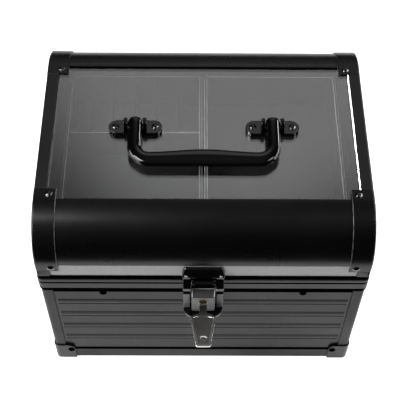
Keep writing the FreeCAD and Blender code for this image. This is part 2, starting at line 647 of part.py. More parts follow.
def handle_brackets():
    bracket = new_body("handle_bracket_right")
    straight, end = "(foot_length / 2 - foot_depth / 2)", "(foot_depth / 2)"
    inner = "(handle_leg / 2 + leg_gap)"
    cheek = f"({inner} + cheek_thick)"
    prism(bracket, "Pad", "XY_Plane", SKIN_TOP, "foot_thick",
          rectangle(f"handle_half - {cheek}", minus(end), f"handle_half + {cheek}", end))
    for hand in (-1, 1):
        root, turn = f"handle_half + {hand} * {cheek}", f"handle_half + {hand} * {straight}"
        tip = f"handle_half + {hand} * foot_length / 2"
        prism(bracket, "Pad", "XY_Plane", SKIN_TOP, "foot_ear",
              [(root, minus(end)), (turn, minus(end), end, hand), (tip, "0", end, hand),
               (turn, end), (root, end)])
    foot = f"{SKIN_TOP} + foot_thick"
    for start in (f"handle_half + {inner}", f"handle_half - {cheek}"):
        prism(bracket, "Pad", "YZ_Plane", start, "cheek_thick",
              [("-cheek_radius - cheek_flare", foot), ("cheek_radius + cheek_flare", foot),
               ("cheek_radius", HANDLE_Z, "cheek_radius", 1),
               ("0", f"{HANDLE_Z} + cheek_radius", "cheek_radius", 1), ("-cheek_radius", HANDLE_Z)])
    keep(bracket)
    keep(mirrored(bracket, "handle_bracket_left", ACROSS))
    pin = rod("handle_pin_right", (f"handle_half - {inner}", "0", HANDLE_Z), "handle_pin", f"2 * {inner}")
    group("handle_pins", [pin, mirrored(pin, "handle_pin_left", ACROSS)])


def handle():
    body = new_body("handle")
    outer, inner = "(handle_half + handle_leg / 2)", "(handle_half - handle_leg / 2)"
    eye = "(handle_thick / 2)"
    bend_y, turn_x = "(handle_bend - handle_reach)", f"({outer} - handle_bend)"
    grip_y = "(grip_end - handle_reach)"
    grip_x = f"({inner} - handle_inner_bend)"
    swell = "(grip_middle - grip_end)"
    ogee = f"(({grip_x}) ^ 2 + {swell} ^ 2) / (4 * {swell})"
    ogee_x, ogee_y = f"({grip_x} / 2)", f"({grip_y} + {swell} / 2)"
    outline = [(minus(outer), eye), (minus(outer), bend_y, "handle_bend", 1),
               (minus(turn_x), "-handle_reach"), (turn_x, "-handle_reach", "handle_bend", 1),
               (outer, bend_y), (outer, eye), (inner, eye),
               (inner, f"{grip_y} + handle_inner_bend", "handle_inner_bend", -1),
               (grip_x, grip_y, ogee, -1), (ogee_x, ogee_y, ogee, 1), (minus(ogee_x), ogee_y, ogee, -1),
               (minus(grip_x), grip_y, "handle_inner_bend", -1),
               (minus(inner), f"{grip_y} + handle_inner_bend"), (minus(inner), eye)]
    prism(body, "Pad", "XY_Plane", f"{HANDLE_Z} - {eye}", "handle_thick", outline)
    ease_edges(body, "Chamfer", "grip_ease", lambda edge, middle: not near(middle.z, HANDLE_Z))
    prism(body, "Pocket", "YZ_Plane", minus(outer), f"2 * {outer}",
          circle("0", HANDLE_Z, "handle_pin + pin_play"))
    keep(body)


# Latch: lid plate, hasp with its lock, and the keeper on the base

def latch_lid_plate():
    body = new_body("latch_lid_plate")
    front, rim = f"({HALF_D} + latch_face)", f"({HALF_D} + rim_proud + seat_gap)"
    prism(body, "Pad", "YZ_Plane", "-latch_half", "2 * latch_half",
          [(minus(SKIN_D), "latch_foot"), (minus(SKIN_D), "latch_top"),
           (f"-({SKIN_D} + latch_crown)", "latch_top"), (minus(front), "latch_top - latch_slope"),
           (minus(front), "latch_foot")])
    for hand in (-1, 1):
        side = f"{hand} * latch_half"
        prism(body, "Pocket", "XZ_Plane", SKIN_D, f"{front} - {SKIN_D}",
              [(side, "latch_foot"), (side, "latch_top"),
               (f"{hand} * (latch_half - latch_shoulder)", "latch_top")])
    pin_y, low = f"({HALF_D} + hasp_pivot_front)", "(hasp_pivot_height - ear_drop)"
    ear_front = f"({pin_y} + hasp_barrel)"
    inner, width = "(boss_half + ear_gap)", "latch_half - boss_half - ear_inset - ear_gap"
    for start in (inner, "-latch_half + ear_inset"):
        prism(body, "Pad", "YZ_Plane", start, width,
              [(minus(rim), "latch_foot"), (minus(front), "latch_foot"),
               (minus(ear_front), "hasp_pivot_height"),
               (minus(ear_front), f"{low} + hasp_barrel", "hasp_barrel", 1), (minus(pin_y), low),
               (minus(rim), low)])
    keep(body)
    keep(rod("hasp_pin", (minus(inner), LATCH_Y, "hasp_pivot_height"), "pin_radius", f"2 * {inner}"))


def hasp():
    body = new_body("hasp")
    front, back = LOCK_FACE, f"({HALF_D} + boss_back)"
    prism(body, "Pad", "YZ_Plane", "-boss_half", "2 * boss_half",
          [(minus(back), "boss_bottom"), (minus(back), "boss_top"), (f"boss_depth - {front}", "boss_top"),
           (minus(front), "boss_top - boss_slope"), (minus(front), "boss_bottom")])
    ease_edges(body, "Fillet", "boss_round", lambda edge, middle: near(middle.z, "boss_bottom")
               and near(abs(middle.x), "boss_half"))
    half = "(boss_half - knuckle_gap)"
    prism(body, "Pad", "XZ_Plane", back, "strap_thick",
          rectangle(minus(half), "boss_top - boss_lap", half, "hasp_pivot_height"))
    prism(body, "Pad", "YZ_Plane", minus(half), f"2 * {half}",
          circle(LATCH_Y, "hasp_pivot_height", "hasp_barrel"))
    prism(body, "Pocket", "YZ_Plane", "-boss_half", "2 * boss_half",
          circle(LATCH_Y, "hasp_pivot_height", "pin_radius + pin_play"))
    prism(body, "Pocket", "XZ_Plane", back, f"{front} - {back}",
          circle("0", "lock_height", "lock_radius + pin_play"))
    prism(body, "Pocket", "XZ_Plane", back, "cam_thick + cam_gap",
          rectangle("-boss_half - cam_gap", "lock_height - cam_length - cam_gap",
                    "lock_radius + cam_gap", "lock_height + lock_radius + cam_gap"))
    keep(body)


def lock_cylinder():
    body = new_body("lock_cylinder")
    cam_back = f"({HALF_D} + boss_back + seat_gap)"
    cam_front = f"({cam_back} + cam_thick)"
    prism(body, "Pad", "XZ_Plane", cam_front, f"{LOCK_FACE} + lock_proud - {cam_front}",
          circle("0", "lock_height", "lock_radius"))
    prism(body, "Pad", "XZ_Plane", cam_back, "cam_thick",
          rectangle("-cam_width / 2", "lock_height - cam_length",
                    "cam_width / 2", "lock_height + cam_width / 2"))
    half, rise = "(key_shank / 2 + key_play)", "(key_thick / 2 + key_play)"
    prism(body, "Pocket", "XZ_Plane", f"{LOCK_FACE} - blade_depth - seat_gap", "2 * blade_depth",
          rectangle(minus(half), f"lock_height - {rise}", half, f"lock_height + {rise}"))
    keep(body)


def key():
    body = new_body("key")
    face = LOCK_FACE
    shank, shoulder, tip = "(key_shank / 2)", "(key_shoulder / 2)", "(key_tip / 2)"
    start, end = f"-({face} + key_bow_start)", f"-({face} + key_bow_end)"
    prism(body, "Pad", "XY_Plane", "lock_height - key_thick / 2", "key_thick",
          rectangle(minus(shank), f"{start} - key_lap", shank, f"-({face} - blade_depth)"))
    neck, wide = f"{start} + key_lap", f"{start} - key_slope"
    thick = "(key_thick + 2 * key_border)"
    prism(body, "Pad", "XY_Plane", f"lock_height - {thick} / 2", thick,
          [(minus(shoulder), wide), (minus(tip), end), (tip, end), (shoulder, wide), (shank, neck),
           (minus(shank), neck)])
    ease_edges(body, "Fillet", "key_round", lambda edge, middle: abs(edge.Length - value(thick)) < 0.01
                and abs(middle.x) > value(shank) + 0.1)
    edge_x, edge_y = f"({shoulder} - key_frame)", f"{wide} - key_frame / 3"
    tip_x, tip_y = f"({tip} - key_frame)", f"{end} + key_frame"
    field = [(minus(edge_x), edge_y), (minus(tip_x), tip_y), (tip_x, tip_y), (edge_x, edge_y),
             ("0", f"{start} - key_frame")]
    for low in ("lock_height + key_thick / 2", "lock_height - key_thick / 2 - 2 * key_border"):
        prism(body, "Pocket", "XY_Plane", low, "2 * key_border", field)
    prism(body, "Pocket", "XY_Plane", f"lock_height - {thick} / 2", thick,
          circle("0", f"{end} + key_hole_in", "key_hole"))
    keep(body)


def latch_keeper():
    body = new_body("latch_keeper")
    half = "keeper_half"
    front, step = f"({HALF_D} + rail_front)", f"({HALF_D} + rim_step)"
    plate_top, rail_top = f"({BASE_EDGE} - seat_gap)", f"({BASE_EDGE} + rail_rise)"
    prism(body, "Pad", "XZ_Plane", SKIN_D, "keeper_plate",
          rectangle(minus(half), "keeper_bottom", half, plate_top))
    for left, right in ((minus(half), "-rail_inner"), ("rail_inner", half)):
        prism(body, "Pad", "XZ_Plane", SKIN_D, f"{front} - {SKIN_D}",
              rectangle(left, "lip_top - rail_lap", right, plate_top))
        prism(body, "Pad", "XZ_Plane", step, f"{front} - {step}",
              rectangle(left, plate_top, right, rail_top))
    lip_y, lip_x = f"-({HALF_D} + lip_front)", f"({half} - lip_round)"
    prism(body, "Pad", "XY_Plane", "lip_top - lip_thick", "lip_thick",
          [(minus(half), minus(SKIN_D)), (minus(half), f"{lip_y} + lip_round", "lip_round", 1),
           (minus(lip_x), lip_y), (lip_x, lip_y, "lip_round", 1), (half, f"{lip_y} + lip_round"),
           (half, minus(SKIN_D))])
    prism(body, "Pocket", "XZ_Plane", f"{SKIN_D} + keeper_plate", "cam_pocket",
          rectangle("-cam_length - cam_room", "lock_height - cam_swing", "-rail_inner + cam_room",
                    "lock_height + cam_width / 2 + cam_room"))
    keep(body)


# Inner trays, their arms and brackets

def tray(label, left, right, hand):
    """Moulded tray with a stud at each arm's end; left and right are its side faces."""
    body = new_body(label)
    long = "tray_half_length"
    prism(body, "Pad", "XY_Plane", "tray_bottom", "tray_height", rectangle(left, minus(long), right, long))
    ease_edges(body, "Fillet", "tray_corner",
               lambda edge, middle: abs(edge.Length - value("tray_height")) < 0.01)
    reach = f"({ARM_FACE} + arm_thick + stud_proud)"
    for arm in ("upper", "lower"):
        prism(body, "Pad", "XZ_Plane", minus(reach), f"2 * {reach}",
              stud(f"{hand} * ({arm}_pivot_across - arm_length)", f"{arm}_pivot_height", "stud_radius"))
    well = rectangle(f"{left} + tray_wall", "-tray_half_length + tray_wall",
                     f"{right} - tray_wall", "tray_half_length - tray_wall")
    prism(body, "Pocket", "XY_Plane", f"{TRAY_TOP} - tray_freeboard", "tray_freeboard", well)
    return body


def trays():
    floor = "tray_bottom + tray_floor"
    deep = "tray_height - tray_floor - tray_freeboard"
    low_y, high_y = "-tray_half_length + tray_wall", "tray_half_length - tray_wall"
    left = tray("left_tray", "-tray_outer", "-tray_inner", -1)
    start = "(-tray_outer + tray_wall)"
    prism(left, "Pocket", "XY_Plane", floor, deep,
          rectangle(start, low_y, "-tray_inner - tray_wall", "divider_place"))
    room = "(tray_outer - tray_inner - 2 * tray_wall)"
    slot = f"(({room} - (slot_count - 1) * fin_thick) / slot_count)"
    first = prism(left, "Pocket", "XY_Plane", floor, deep,
                  rectangle(start, "divider_place + divider_thick", f"{start} + {slot}", high_y))
    rows(left, first, "H_Axis", f"{room} - {slot}", "slot_count")
    keep(left)
    right = tray("right_tray", "tray_inner", "tray_outer", 1)
    prism(right, "Pocket", "XY_Plane", floor, deep,
          rectangle("tray_inner + tray_wall", low_y, "tray_outer - tray_wall", high_y))
    keep(right)


def tray_arms():
    for arm in ("upper", "lower"):
        far, up = f"{arm}_pivot_across", f"{arm}_pivot_height"
        inner = f"({far} - arm_length)"
        strap = new_body(f"right_{arm}_arm_front")
        outer_end, inner_end = eye(far, up, "arm_round"), eye(inner, up, "arm_round")
        bore = "stud_radius + pin_play"
        prism(strap, "Pad", "XZ_Plane", ARM_FACE, "arm_thick",
              outer_end[:2] + inner_end[2:6] + outer_end[6:], eye(far, up, bore), eye(inner, up, bore))
        rear = mirrored(strap, f"right_{arm}_arm_rear", ALONG)
        group(f"right_{arm}_arms", [strap, rear])
        group(f"left_{arm}_arms", [mirrored(strap, f"left_{arm}_arm_front", ACROSS),
                                   mirrored(rear, f"left_{arm}_arm_rear", ACROSS)])


def tray_brackets():
    bracket = new_body("tray_bracket_front_right")
    back = f"({IN_D} - rim_leg - stud_proud)"
    front = f"({ARM_FACE} + arm_thick + bracket_gap)"
    left = "lower_pivot_across - arm_round - bracket_edge"
    right = "upper_pivot_across + arm_round + bracket_edge"
    prism(bracket, "Pad", "XZ_Plane", front, f"{back} - {front}",
          rectangle(left, "bracket_rivet_height - bracket_drop", right, "upper_pivot_height + arm_round"))
    for arm in ("upper", "lower"):
        tip = f"({ARM_FACE} - knuckle_gap)"
        prism(bracket, "Pad", "XZ_Plane", tip, f"{front} - {tip}",
              stud(f"{arm}_pivot_across", f"{arm}_pivot_height", "stud_radius"))
    prism(bracket, "Pad", "XZ_Plane", back, f"{IN_D} - {back}",
          stud("bracket_rivet_across", "bracket_rivet_height", "rivet_radius"))
    rear = mirrored(bracket, "tray_bracket_rear_right", ALONG)
    group("tray_brackets", [bracket, rear, mirrored(bracket, "tray_bracket_front_left", ACROSS),
                            mirrored(rear, "tray_bracket_rear_left", ACROSS)])


# Rivet heads

def rivet_head(label, place, direction):
    """Low dome of eight sides on a surface."""
    ring = doc.addObject("Part::RegularPolygon", label + "_ring")
    ring.Polygon = 8
    ring.Placement.Rotation = FreeCAD.Rotation(Vector(0, 0, 1), direction)
    ring.setExpression("Circumradius", bound("rivet_radius"))
    for axis, formula in zip("xyz", place):
        ring.setExpression("Placement.Base." + axis, bound(formula))
    head = doc.addObject("Part::Extrusion", label + "_head")
    head.Base = ring
    head.DirMode = "Normal"
    head.Solid = True
    head.setExpression("LengthFwd", bound("rivet_rise"))
    head.setExpression("TaperAngle", bound("-rivet_slope"))
    return head


def rivets():
    cap_face, cap_side = f"({HALF_D} + cap_thick)", f"({HALF_W} + cap_thick)"
    cap_x, cap_y = f"({HALF_W} - cap_rivet_in)", f"({HALF_D} - cap_rivet_back)"
    cap_z = "cap_height - cap_rivet_down"
    brace_face, brace_side = f"({SKIN_D} + brace_thick)", f"({SKIN_W} + brace_thick)"
    brace_x, brace_y = f"({HALF_W} - brace_rivet_in)", f"({HALF_D} - brace_rivet_in)"
    brace_z = "brace_foot + brace_rivet_up"
    top_y, top_z = f"({NOSE_Y} - brace_rivet_end)", f"{NOSE_Z} + {BRACE}"
    up = Vector(0, 0, 1)
    base, lid = [], []
    for hand in (-1, 1):
        side = Vector(hand, 0, 0)
        for end in (-1, 1):
            face = Vector(0, end, 0)
            base.append(((f"{hand} * {cap_x}", f"{end} * {cap_face}", cap_z), face))
            base.append(((f"{hand} * {cap_side}", f"{end} * {cap_y}", cap_z), side))
            base.append(((f"{hand} * bracket_rivet_across", f"{end} * {SKIN_D}",
                          "bracket_rivet_height"), face))
            lid.append(((f"{hand} * {brace_x}", f"{end} * {brace_face}", brace_z), face))
            lid.append(((f"{hand} * {brace_x}", f"{end} * {top_y}", top_z), up))
            lid.append(((f"{hand} * {brace_side}", f"{end} * {brace_y}", brace_z), side))
            lid.append(((f"{hand} * {brace_side}", f"{end} * {top_y}",
                         f"{top_z} - brace_rivet_down"), side))
        for ear in (-1, 1):
            across = f"handle_half + {ear} * (foot_length / 2 - foot_rivet_in)"
            lid.append(((f"{hand} * ({across})", "0", f"{SKIN_TOP} + foot_ear"), up))
    for label, seats in (("base_rivets", base), ("lid_rivets", lid)):
        group(label, [rivet_head(label, *seat) for seat in seats])


for build in (base_boards, corner_posts, bottom_corners, bottom_angles, rims, lid_noses, lid_boards,
              lid_top_edges, lid_corners, rear_hinges, handle_brackets, handle, latch_lid_plate, hasp,
              lock_cylinder, key, latch_keeper, trays, tray_arms, tray_brackets, rivets):
    build()
doc.recompute()

# Every feature has to hold before anything is written
for item in doc.Objects:
    if {"Invalid", "Error"} & set(item.State):
        raise RuntimeError(f"{item.Label} failed: {item.State}")
    if item.TypeId == "PartDesign::Pocket" and item.Shape.Volume > item.BaseFeature.Shape.Volume - 0.01:
        raise RuntimeError(f"{item.Label} cuts nothing")
for piece in nodes:
    if piece.Shape.isNull() or not piece.Shape.isValid() or not piece.Shape.Solids:
        raise RuntimeError(f"{piece.Label} has no sound shape")

os.makedirs("parts", exist_ok=True)
for piece in nodes:
    piece.Shape.exportStep(f"parts/{piece.Label}.step")
print(len(nodes), "pieces written")
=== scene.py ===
import json
import math

import bmesh
import bpy
from bpy.props import FloatProperty, FloatVectorProperty, PointerProperty
from mathutils import Matrix, Vector


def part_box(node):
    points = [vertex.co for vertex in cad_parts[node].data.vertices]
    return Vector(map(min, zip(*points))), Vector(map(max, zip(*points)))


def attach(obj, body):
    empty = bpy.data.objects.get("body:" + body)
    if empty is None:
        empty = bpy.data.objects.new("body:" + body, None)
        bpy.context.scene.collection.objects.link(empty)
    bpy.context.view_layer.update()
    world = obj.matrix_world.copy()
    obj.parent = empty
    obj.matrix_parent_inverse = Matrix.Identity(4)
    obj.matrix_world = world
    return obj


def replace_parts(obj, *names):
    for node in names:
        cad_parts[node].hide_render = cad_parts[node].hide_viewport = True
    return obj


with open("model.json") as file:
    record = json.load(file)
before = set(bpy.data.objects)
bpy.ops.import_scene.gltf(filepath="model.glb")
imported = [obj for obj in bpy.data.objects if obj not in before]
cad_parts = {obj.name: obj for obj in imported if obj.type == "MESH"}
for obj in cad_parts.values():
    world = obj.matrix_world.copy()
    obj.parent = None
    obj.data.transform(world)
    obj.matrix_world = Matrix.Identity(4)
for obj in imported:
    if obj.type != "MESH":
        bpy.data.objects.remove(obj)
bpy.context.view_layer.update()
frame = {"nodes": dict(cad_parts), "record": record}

bl_info = {
    "name": "Train case finishes",
    "version": (1, 0, 0),
    "blender": (4, 5, 0),
    "location": "View3D > Sidebar > Train case",
    "description": "Dresses a cosmetics train case and sets it on a pale studio floor",
    "category": "Object",
}

NODES = frame["nodes"]
BODY_OF = {node: body for body, members in frame["record"]["behaviour"]["bodies"].items() for node in members}
SIDES = ("front", "rear", "left", "right")

# Meshes: joining distance, angles of flat, sharp and smooth edges, marks of edges for wear with painted
# highlight and for painted shade, tests of a face's direction
MERGE = 2e-6
FLAT, CREASE, SMOOTH = math.radians(0.5), math.radians(28), math.radians(50)
EDGE_MARK, WORN, GRIMY = "worn_edge", 1.0, -1.0
SQUARE, UPWARD, LEANING = 0.9, 0.5, 0.3

# Base boards: place and size of the beads, the painted shade lines along them and the margins painted as shade
BEAD_DROP, BEAD_RISE, BEAD_HEIGHT, BEAD_MARGIN = 0.0082, 0.0009, 0.01, 0.01
LINE_WIDTH, LINE_ANGLE = 0.0014, math.radians(8)
UNDERSIDE, OUTER_FACE = 0.17, 0.8
SHADE_BELOW, SHADE_ABOVE = 0.003, 0.0048

# Rims: step of the inner wall, past which faces are painted as shade; height of the foot painted as shade; and
# the joint about the split, painted black as gap and shade
RIM_STEP, RIM_SHADE, RIM_JOINT = 0.0012, 0.0065, (-0.0008, 0.0018)

# Window: seat in the panel, rear lip and clear side beads
SEAT = 0.0002
LIP_BACK, LIP_FRONT, LIP_RISE, LIP_END = 0.0026, 0.0014, 0.0018, 0.0004
CLEAR_INNER, CLEAR_OUTER, CLEAR_RISE = 0.0017, 0.0001, 0.0014
CLEAR_SLOPE, CLEAR_SLOPE_START = 0.00071, 0.001

# Braces: rounding and start of the inner edge lightened as wear and painted highlight, as multiples of the
# metal's easing
BRACE_ROUND, BRACE_START = 2.4, 4

# Rivets: radius and height along the turned head, in millimetres
RIVET_PROFILE = ((0, 1.6), (1.1, 1.52), (2.0, 1.24), (2.6, 0.86), (2.95, 0.42), (3.4, 0.3), (3.4, 0), (0, 0))
RIVET_STEPS = 20

# Handle: half widths, swell, bends, set-back, droop and thinning towards the front, rounded tips
LEG, GRIP, SWELL, BEND = 0.0064, 0.007, 0.0032, 0.0135
BAR_BACK, BAR_DROOP, BAR_THINNING = 0.0019, 0.0022, 0.3
BAR_SIDES, BAR_ROUNDNESS = 28, 0.8
BEND_STEPS, GRIP_STEPS, HALVES_MERGE = 12, 14, 1e-5
TIP_SIZE, TIP_RINGS = 0.4, ((0.78, 0.0009), (0.95, 0.0026), (1.0, 0.005))

# Latch: lid plate, its lugs and studs, hasp, keeper and key
PLATE_FOOT, PLATE_FRONT, PLATE_HEAD = 0.02, 0.0034, 0.002
PLATE_TAPER, PLATE_LIP, PLATE_ROUND = 0.88, 0.0024, 0.0019
LUG_INNER, LUG_INSET, LUG_ROUND = 0.01105, 0.0012, 0.0011
STUD_PLACE, STUD_RISE, STUD_SINK, STUD_REACH = 0.0156, 0.0026, 0.001, 0.0017
STUD_SIZE = (0.0016, 0.0013, 0.0016)
STRAP_RISE, BARREL_RISE, BARREL_FRONT, BARREL_SHARE = 0.001, 0.004, 0.0125, 0.78
# Lighter slope of the hasp, the painted highlight along its edges and top, and the painted shade line at the
# fold
SLOPE_LEAST, SLOPE_MOST, SLOPE_BORDER, FOLD_LINE = 0.4, 0.95, 0.0011, 0.001
SLOPE_TOP_BORDER = 0.001
KEEPER_LIP = 0.0095
KEY_WEB, KEY_BOW, KEY_EASE = 0.0012, 0.032, 0.6

# Trays: where the lipstick slots start, top of their dividers below the rim, and top of the floor
SLOTS_START, DIVIDER_DROP, TRAY_FLOOR = 0.0412, 0.005, 0.004

# Stage: floor, patches of light as direction, near and far angle, lamps as place, target and size, and camera
FLOOR_REACH, FLOOR_FRONT, FLOOR_ROUGHNESS = 1.1, 0.33, 0.9
MOTTLE_SCALE, MOTTLE_TONE = 40, 0.99
FLOOR_LEVELS = {"Is Camera Ray": 0.84, "Is Transmission Ray": 0.84, "Is Glossy Ray": 0.22}
REAR_GLOW = ((0.039, 0.692, 0.721), 6.9, 13.8)
REAR_HAZE = ((0.05, 0.787, 0.615), 15, 27)
HIGH_GLOW, HIGH_SHARE = ((0, 0.276, 0.961), 4, 15), 1.3
TOP_GLOW = ((0, -0.35, 1), 8, 40)
OVERHEAD = ((-0.66, -0.26, 1.35), (-0.15, 0, 0.2), (0.6, 0.3))
OVERHEAD_RIGHT = ((0.78, -0.26, 1.3), (0.15, 0, 0.2), (0.4, 0.3))
RIGHT_STRIP = ((1.35, 0.3, 0.85), (0, 0, 0.2), (1.7, 0.16))
LEFT_STRIP = ((-1.25, -0.35, 0.95), (0, 0, 0.2), (1.5, 0.16))
CAMERA_PLACE, CAMERA_PITCH, CAMERA_YAW, CAMERA_ROLL = (-0.0086, -0.5539, 0.9281), 56.27, -0.936, 1.01
SENSOR_WIDTH, FOCAL_SHARE, CAMERA_SHIFT = 36, 967.5 / 416, 0.012


def colour_prop(name, default, description):
    return FloatVectorProperty(name=name, description=description, subtype="COLOR", size=3, min=0, max=1,
                               default=default)


def length_prop(name, default, description):
    return FloatProperty(name=name, description=description, default=default, min=0, unit="LENGTH")


class CaseFinishes(bpy.types.PropertyGroup):
    """Colours of the case's materials."""
    board: colour_prop("Board", (0.0075, 0.0075, 0.0078), "Beaded laminate of the base")
    # Its light grey is painted reflection of the pale floor in a glossy strip.
    strip: colour_prop("Strip", (0.385, 0.385, 0.392), "Lid strip below the rounded edge")
    aluminium: colour_prop("Aluminium", (0.0012, 0.0012, 0.0013), "Satin black edges")
    matte: colour_prop("Matte", (0.007, 0.007, 0.0072), "Top edge angles and gaskets")
    # This black, with no gloss, marks real gaps and is also laid as painted shade on inner faces, recesses and
    # margins.
    gap: colour_prop("Gap", (0.0015, 0.0015, 0.0015), "Unlit gaps and inner faces")
    rim: colour_prop("Rim", (0.009, 0.009, 0.0093), "Rims at the split")
    enamel: colour_prop("Enamel", (0.002, 0.002, 0.0021), "Corner hardware")
    gloss: colour_prop("Gloss", (0.001, 0.001, 0.0011), "Moulded handle and its brackets")
    latch: colour_prop("Latch", (0.0015, 0.0015, 0.0016), "Plated latch")
    # Light grey laid on forward faces of hasp and keeper: painted reflection of the pale floor.
    zinc: colour_prop("Zinc", (0.17, 0.17, 0.17), "Front faces of hasp and keeper")
    # Lighter tone on the hasp's upward slope: painted light.
    satin: colour_prop("Satin", (0.05, 0.05, 0.05), "Sloped top of the hasp")
    nickel: colour_prop("Nickel", (0.58, 0.57, 0.54), "Key")
    brass: colour_prop("Brass", (0.24, 0.19, 0.11), "Lock cylinder")
    tray: colour_prop("Tray", (0.004, 0.004, 0.0041), "Moulded trays")
    window: colour_prop("Window", (0.94, 0.95, 0.95), "Clear top panel")


class CaseEdges(bpy.types.PropertyGroup):
    """Easing of the pieces' edges."""
    board: length_prop("Board", 0.0005, "Edges of boards")
    metal: length_prop("Metal", 0.00035, "Edges of sheet and extrusion")
    hardware: length_prop("Hardware", 0.0005, "Edges of latch and brackets")
    tray: length_prop("Tray", 0.0007, "Edges of the trays")


class CaseStage(bpy.types.PropertyGroup):
    """Light and floor about the case."""
    fill: FloatProperty(name="Fill", description="Light from all round", default=0.012, min=0)
    rear_glow: FloatProperty(name="Rear glow", description="Soft patch of light behind and above",
                             default=0.51, min=0)
    rear_haze: FloatProperty(name="Rear haze", description="Wider, fainter patch about the rear glow",
                             default=0.26, min=0)
    top_glow: FloatProperty(name="Top glow", description="Faint patch of light overhead", default=0.085, min=0)
    overhead: FloatProperty(name="Overhead", description="Power of the light above on the left", default=10,
                            min=0, unit="POWER")
    right_lamp: FloatProperty(name="Right lamp", description="Power of the light above on the right",
                              default=2.5, min=0, unit="POWER")
    strip: FloatProperty(name="Side strips", description="Power of each side light", default=22, min=0,
                         unit="POWER")
    floor: FloatProperty(name="Floor", description="Tone of the floor", default=0.86, min=0, max=1,
                         subtype="FACTOR")


# Finishes: tones of the grain and ribs, scales of smudges and of wear with painted highlight, painted shade in
# inner corners, clear sheet
GRAIN_DARK, GRAIN_PALE, RIB_DARK = 0.82, 1.2, 0.55
SMUDGE_SCALE, WEAR_SCALE, WEAR_RANGE = 22, 140, (0.42, 0.66)
GRIME_SHARE, GRIME_TONE, GRIME_GLOSS = 0.97, 0.15, 0.02
BARE_TONE, BARE_SHARE = 0.1, 0.6
BUMP_STRENGTH, COAT_ROUGHNESS = 0.5, 0.06
ACRYLIC_IOR, SHEEN_IOR, SHADOW_PASS = 1.49, 1.7, 0.92
POLISH_LEAST, POLISH_MOST, WIPING_SCALE, WIPED_TONE = 0.004, 0.012, 26, 0.98


def new_material(name):
    """Node material with its shader and its object coordinates."""
    material = bpy.data.materials.new(name)
    material.use_nodes = True
    nodes = material.node_tree.nodes
    shader = nodes["Principled BSDF"]
    coordinates = nodes.new("ShaderNodeTexCoord")
    return material, nodes, material.node_tree.links, shader, coordinates.outputs["Object"]


def noise(nodes, links, place, scale, detail, stretch=(1, 1, 1)):
    """Value of a noise pattern, stretched along the axes."""
    mapping = nodes.new("ShaderNodeMapping")
    mapping.inputs["Scale"].default_value = stretch
    links.new(place, mapping.inputs["Vector"])
    pattern = nodes.new("ShaderNodeTexNoise")
    pattern.inputs["Scale"].default_value = scale
    pattern.inputs["Detail"].default_value = detail
    links.new(mapping.outputs["Vector"], pattern.inputs["Vector"])
    return pattern.outputs["Fac"]


def spread(nodes, links, value, low, high, start=0.3, end=0.7):
    """A pattern's value moved to the range from low to high."""
    remap = nodes.new("ShaderNodeMapRange")
    remap.inputs["From Min"].default_value = start
    remap.inputs["From Max"].default_value = end
    remap.inputs["To Min"].default_value = low
    remap.inputs["To Max"].default_value = high
    links.new(value, remap.inputs["Value"])
    return remap.outputs["Result"]


def blend(nodes, links, amount, first, second):
    """Colour between two, which are colours or sockets."""
    mix = nodes.new("ShaderNodeMix")
    mix.data_type = "RGBA"
    links.new(amount, mix.inputs["Factor"])
    for socket, colour in ((mix.inputs[6], first), (mix.inputs[7], second)):
        if isinstance(colour, bpy.types.NodeSocket):
            links.new(colour, socket)
        else:
            socket.default_value = (*colour, 1)
    return mix.outputs[2]


def shade(colour, factor):
    return tuple(min(1.0, channel * factor) for channel in colour)


def grey(tone):
    return (tone, tone, tone)


def surface(name, colour, roughness, grain=900, relief=0.00002, stretch=(1, 1, 1), metallic=0.0, wear=0.0,
            coat=0.0, specular=0.5, smudge=0.06, rubbed=None, ribs=0.0):
    """Opaque finish with grain, patchy gloss, wear and painted highlight on outer edges, painted shade in inner
    corners and fine upright ribs.
    """
    material, nodes, links, shader, place = new_material(name)
    fine = noise(nodes, links, place, grain, 6, stretch)
    broad = noise(nodes, links, place, SMUDGE_SCALE, 4)
    tone = blend(nodes, links, spread(nodes, links, fine, 0, 1), shade(colour, GRAIN_DARK),
                 shade(colour, GRAIN_PALE))
    if ribs:
        upright = nodes.new("ShaderNodeMapping")
        upright.inputs["Scale"].default_value = (1, 1, 0)
        links.new(place, upright.inputs["Vector"])
        waves = nodes.new("ShaderNodeTexWave")
        waves.bands_direction = "DIAGONAL"
        waves.inputs["Scale"].default_value = ribs
        links.new(upright.outputs["Vector"], waves.inputs["Vector"])
        tone = blend(nodes, links, waves.outputs["Fac"], shade(colour, RIB_DARK), tone)
    edge = nodes.new("ShaderNodeAttribute")
    edge.attribute_name = EDGE_MARK
    # Inner edges with the negative edge mark get painted shade: a darker tone and almost no gloss.
    grime = spread(nodes, links, edge.outputs["Fac"], GRIME_SHARE, 0, GRIMY, 0)
    tone = blend(nodes, links, grime, tone, shade(colour, GRIME_TONE))
    # Outer edges with the positive edge mark lighten in noise patches: wear, and painted highlight along the
    # edges.
    if wear:
        blotches = noise(nodes, links, place, WEAR_SCALE, 5)
        patches = spread(nodes, links, blotches, max(0, wear - 1), wear, *WEAR_RANGE)
        amount = nodes.new("ShaderNodeMath")
        amount.operation = "MULTIPLY"
        amount.use_clamp = True
        links.new(edge.outputs["Fac"], amount.inputs[0])
        links.new(patches, amount.inputs[1])
        bare = rubbed or tuple(BARE_TONE + BARE_SHARE * channel for channel in colour)
        tone = blend(nodes, links, amount.outputs[0], tone, bare)
    links.new(tone, shader.inputs["Base Color"])
    links.new(spread(nodes, links, broad, roughness - smudge, roughness + smudge), shader.inputs["Roughness"])
    bump = nodes.new("ShaderNodeBump")
    bump.inputs["Strength"].default_value = BUMP_STRENGTH
    bump.inputs["Distance"].default_value = relief
    links.new(fine, bump.inputs["Height"])
    links.new(bump.outputs["Normal"], shader.inputs["Normal"])
    shader.inputs["Metallic"].default_value = metallic
    links.new(spread(nodes, links, edge.outputs["Fac"], GRIME_GLOSS * specular, specular, GRIMY, 0),
              shader.inputs["Specular IOR Level"])
    shader.inputs["Coat Weight"].default_value = coat
    shader.inputs["Coat Roughness"].default_value = COAT_ROUGHNESS
    return material


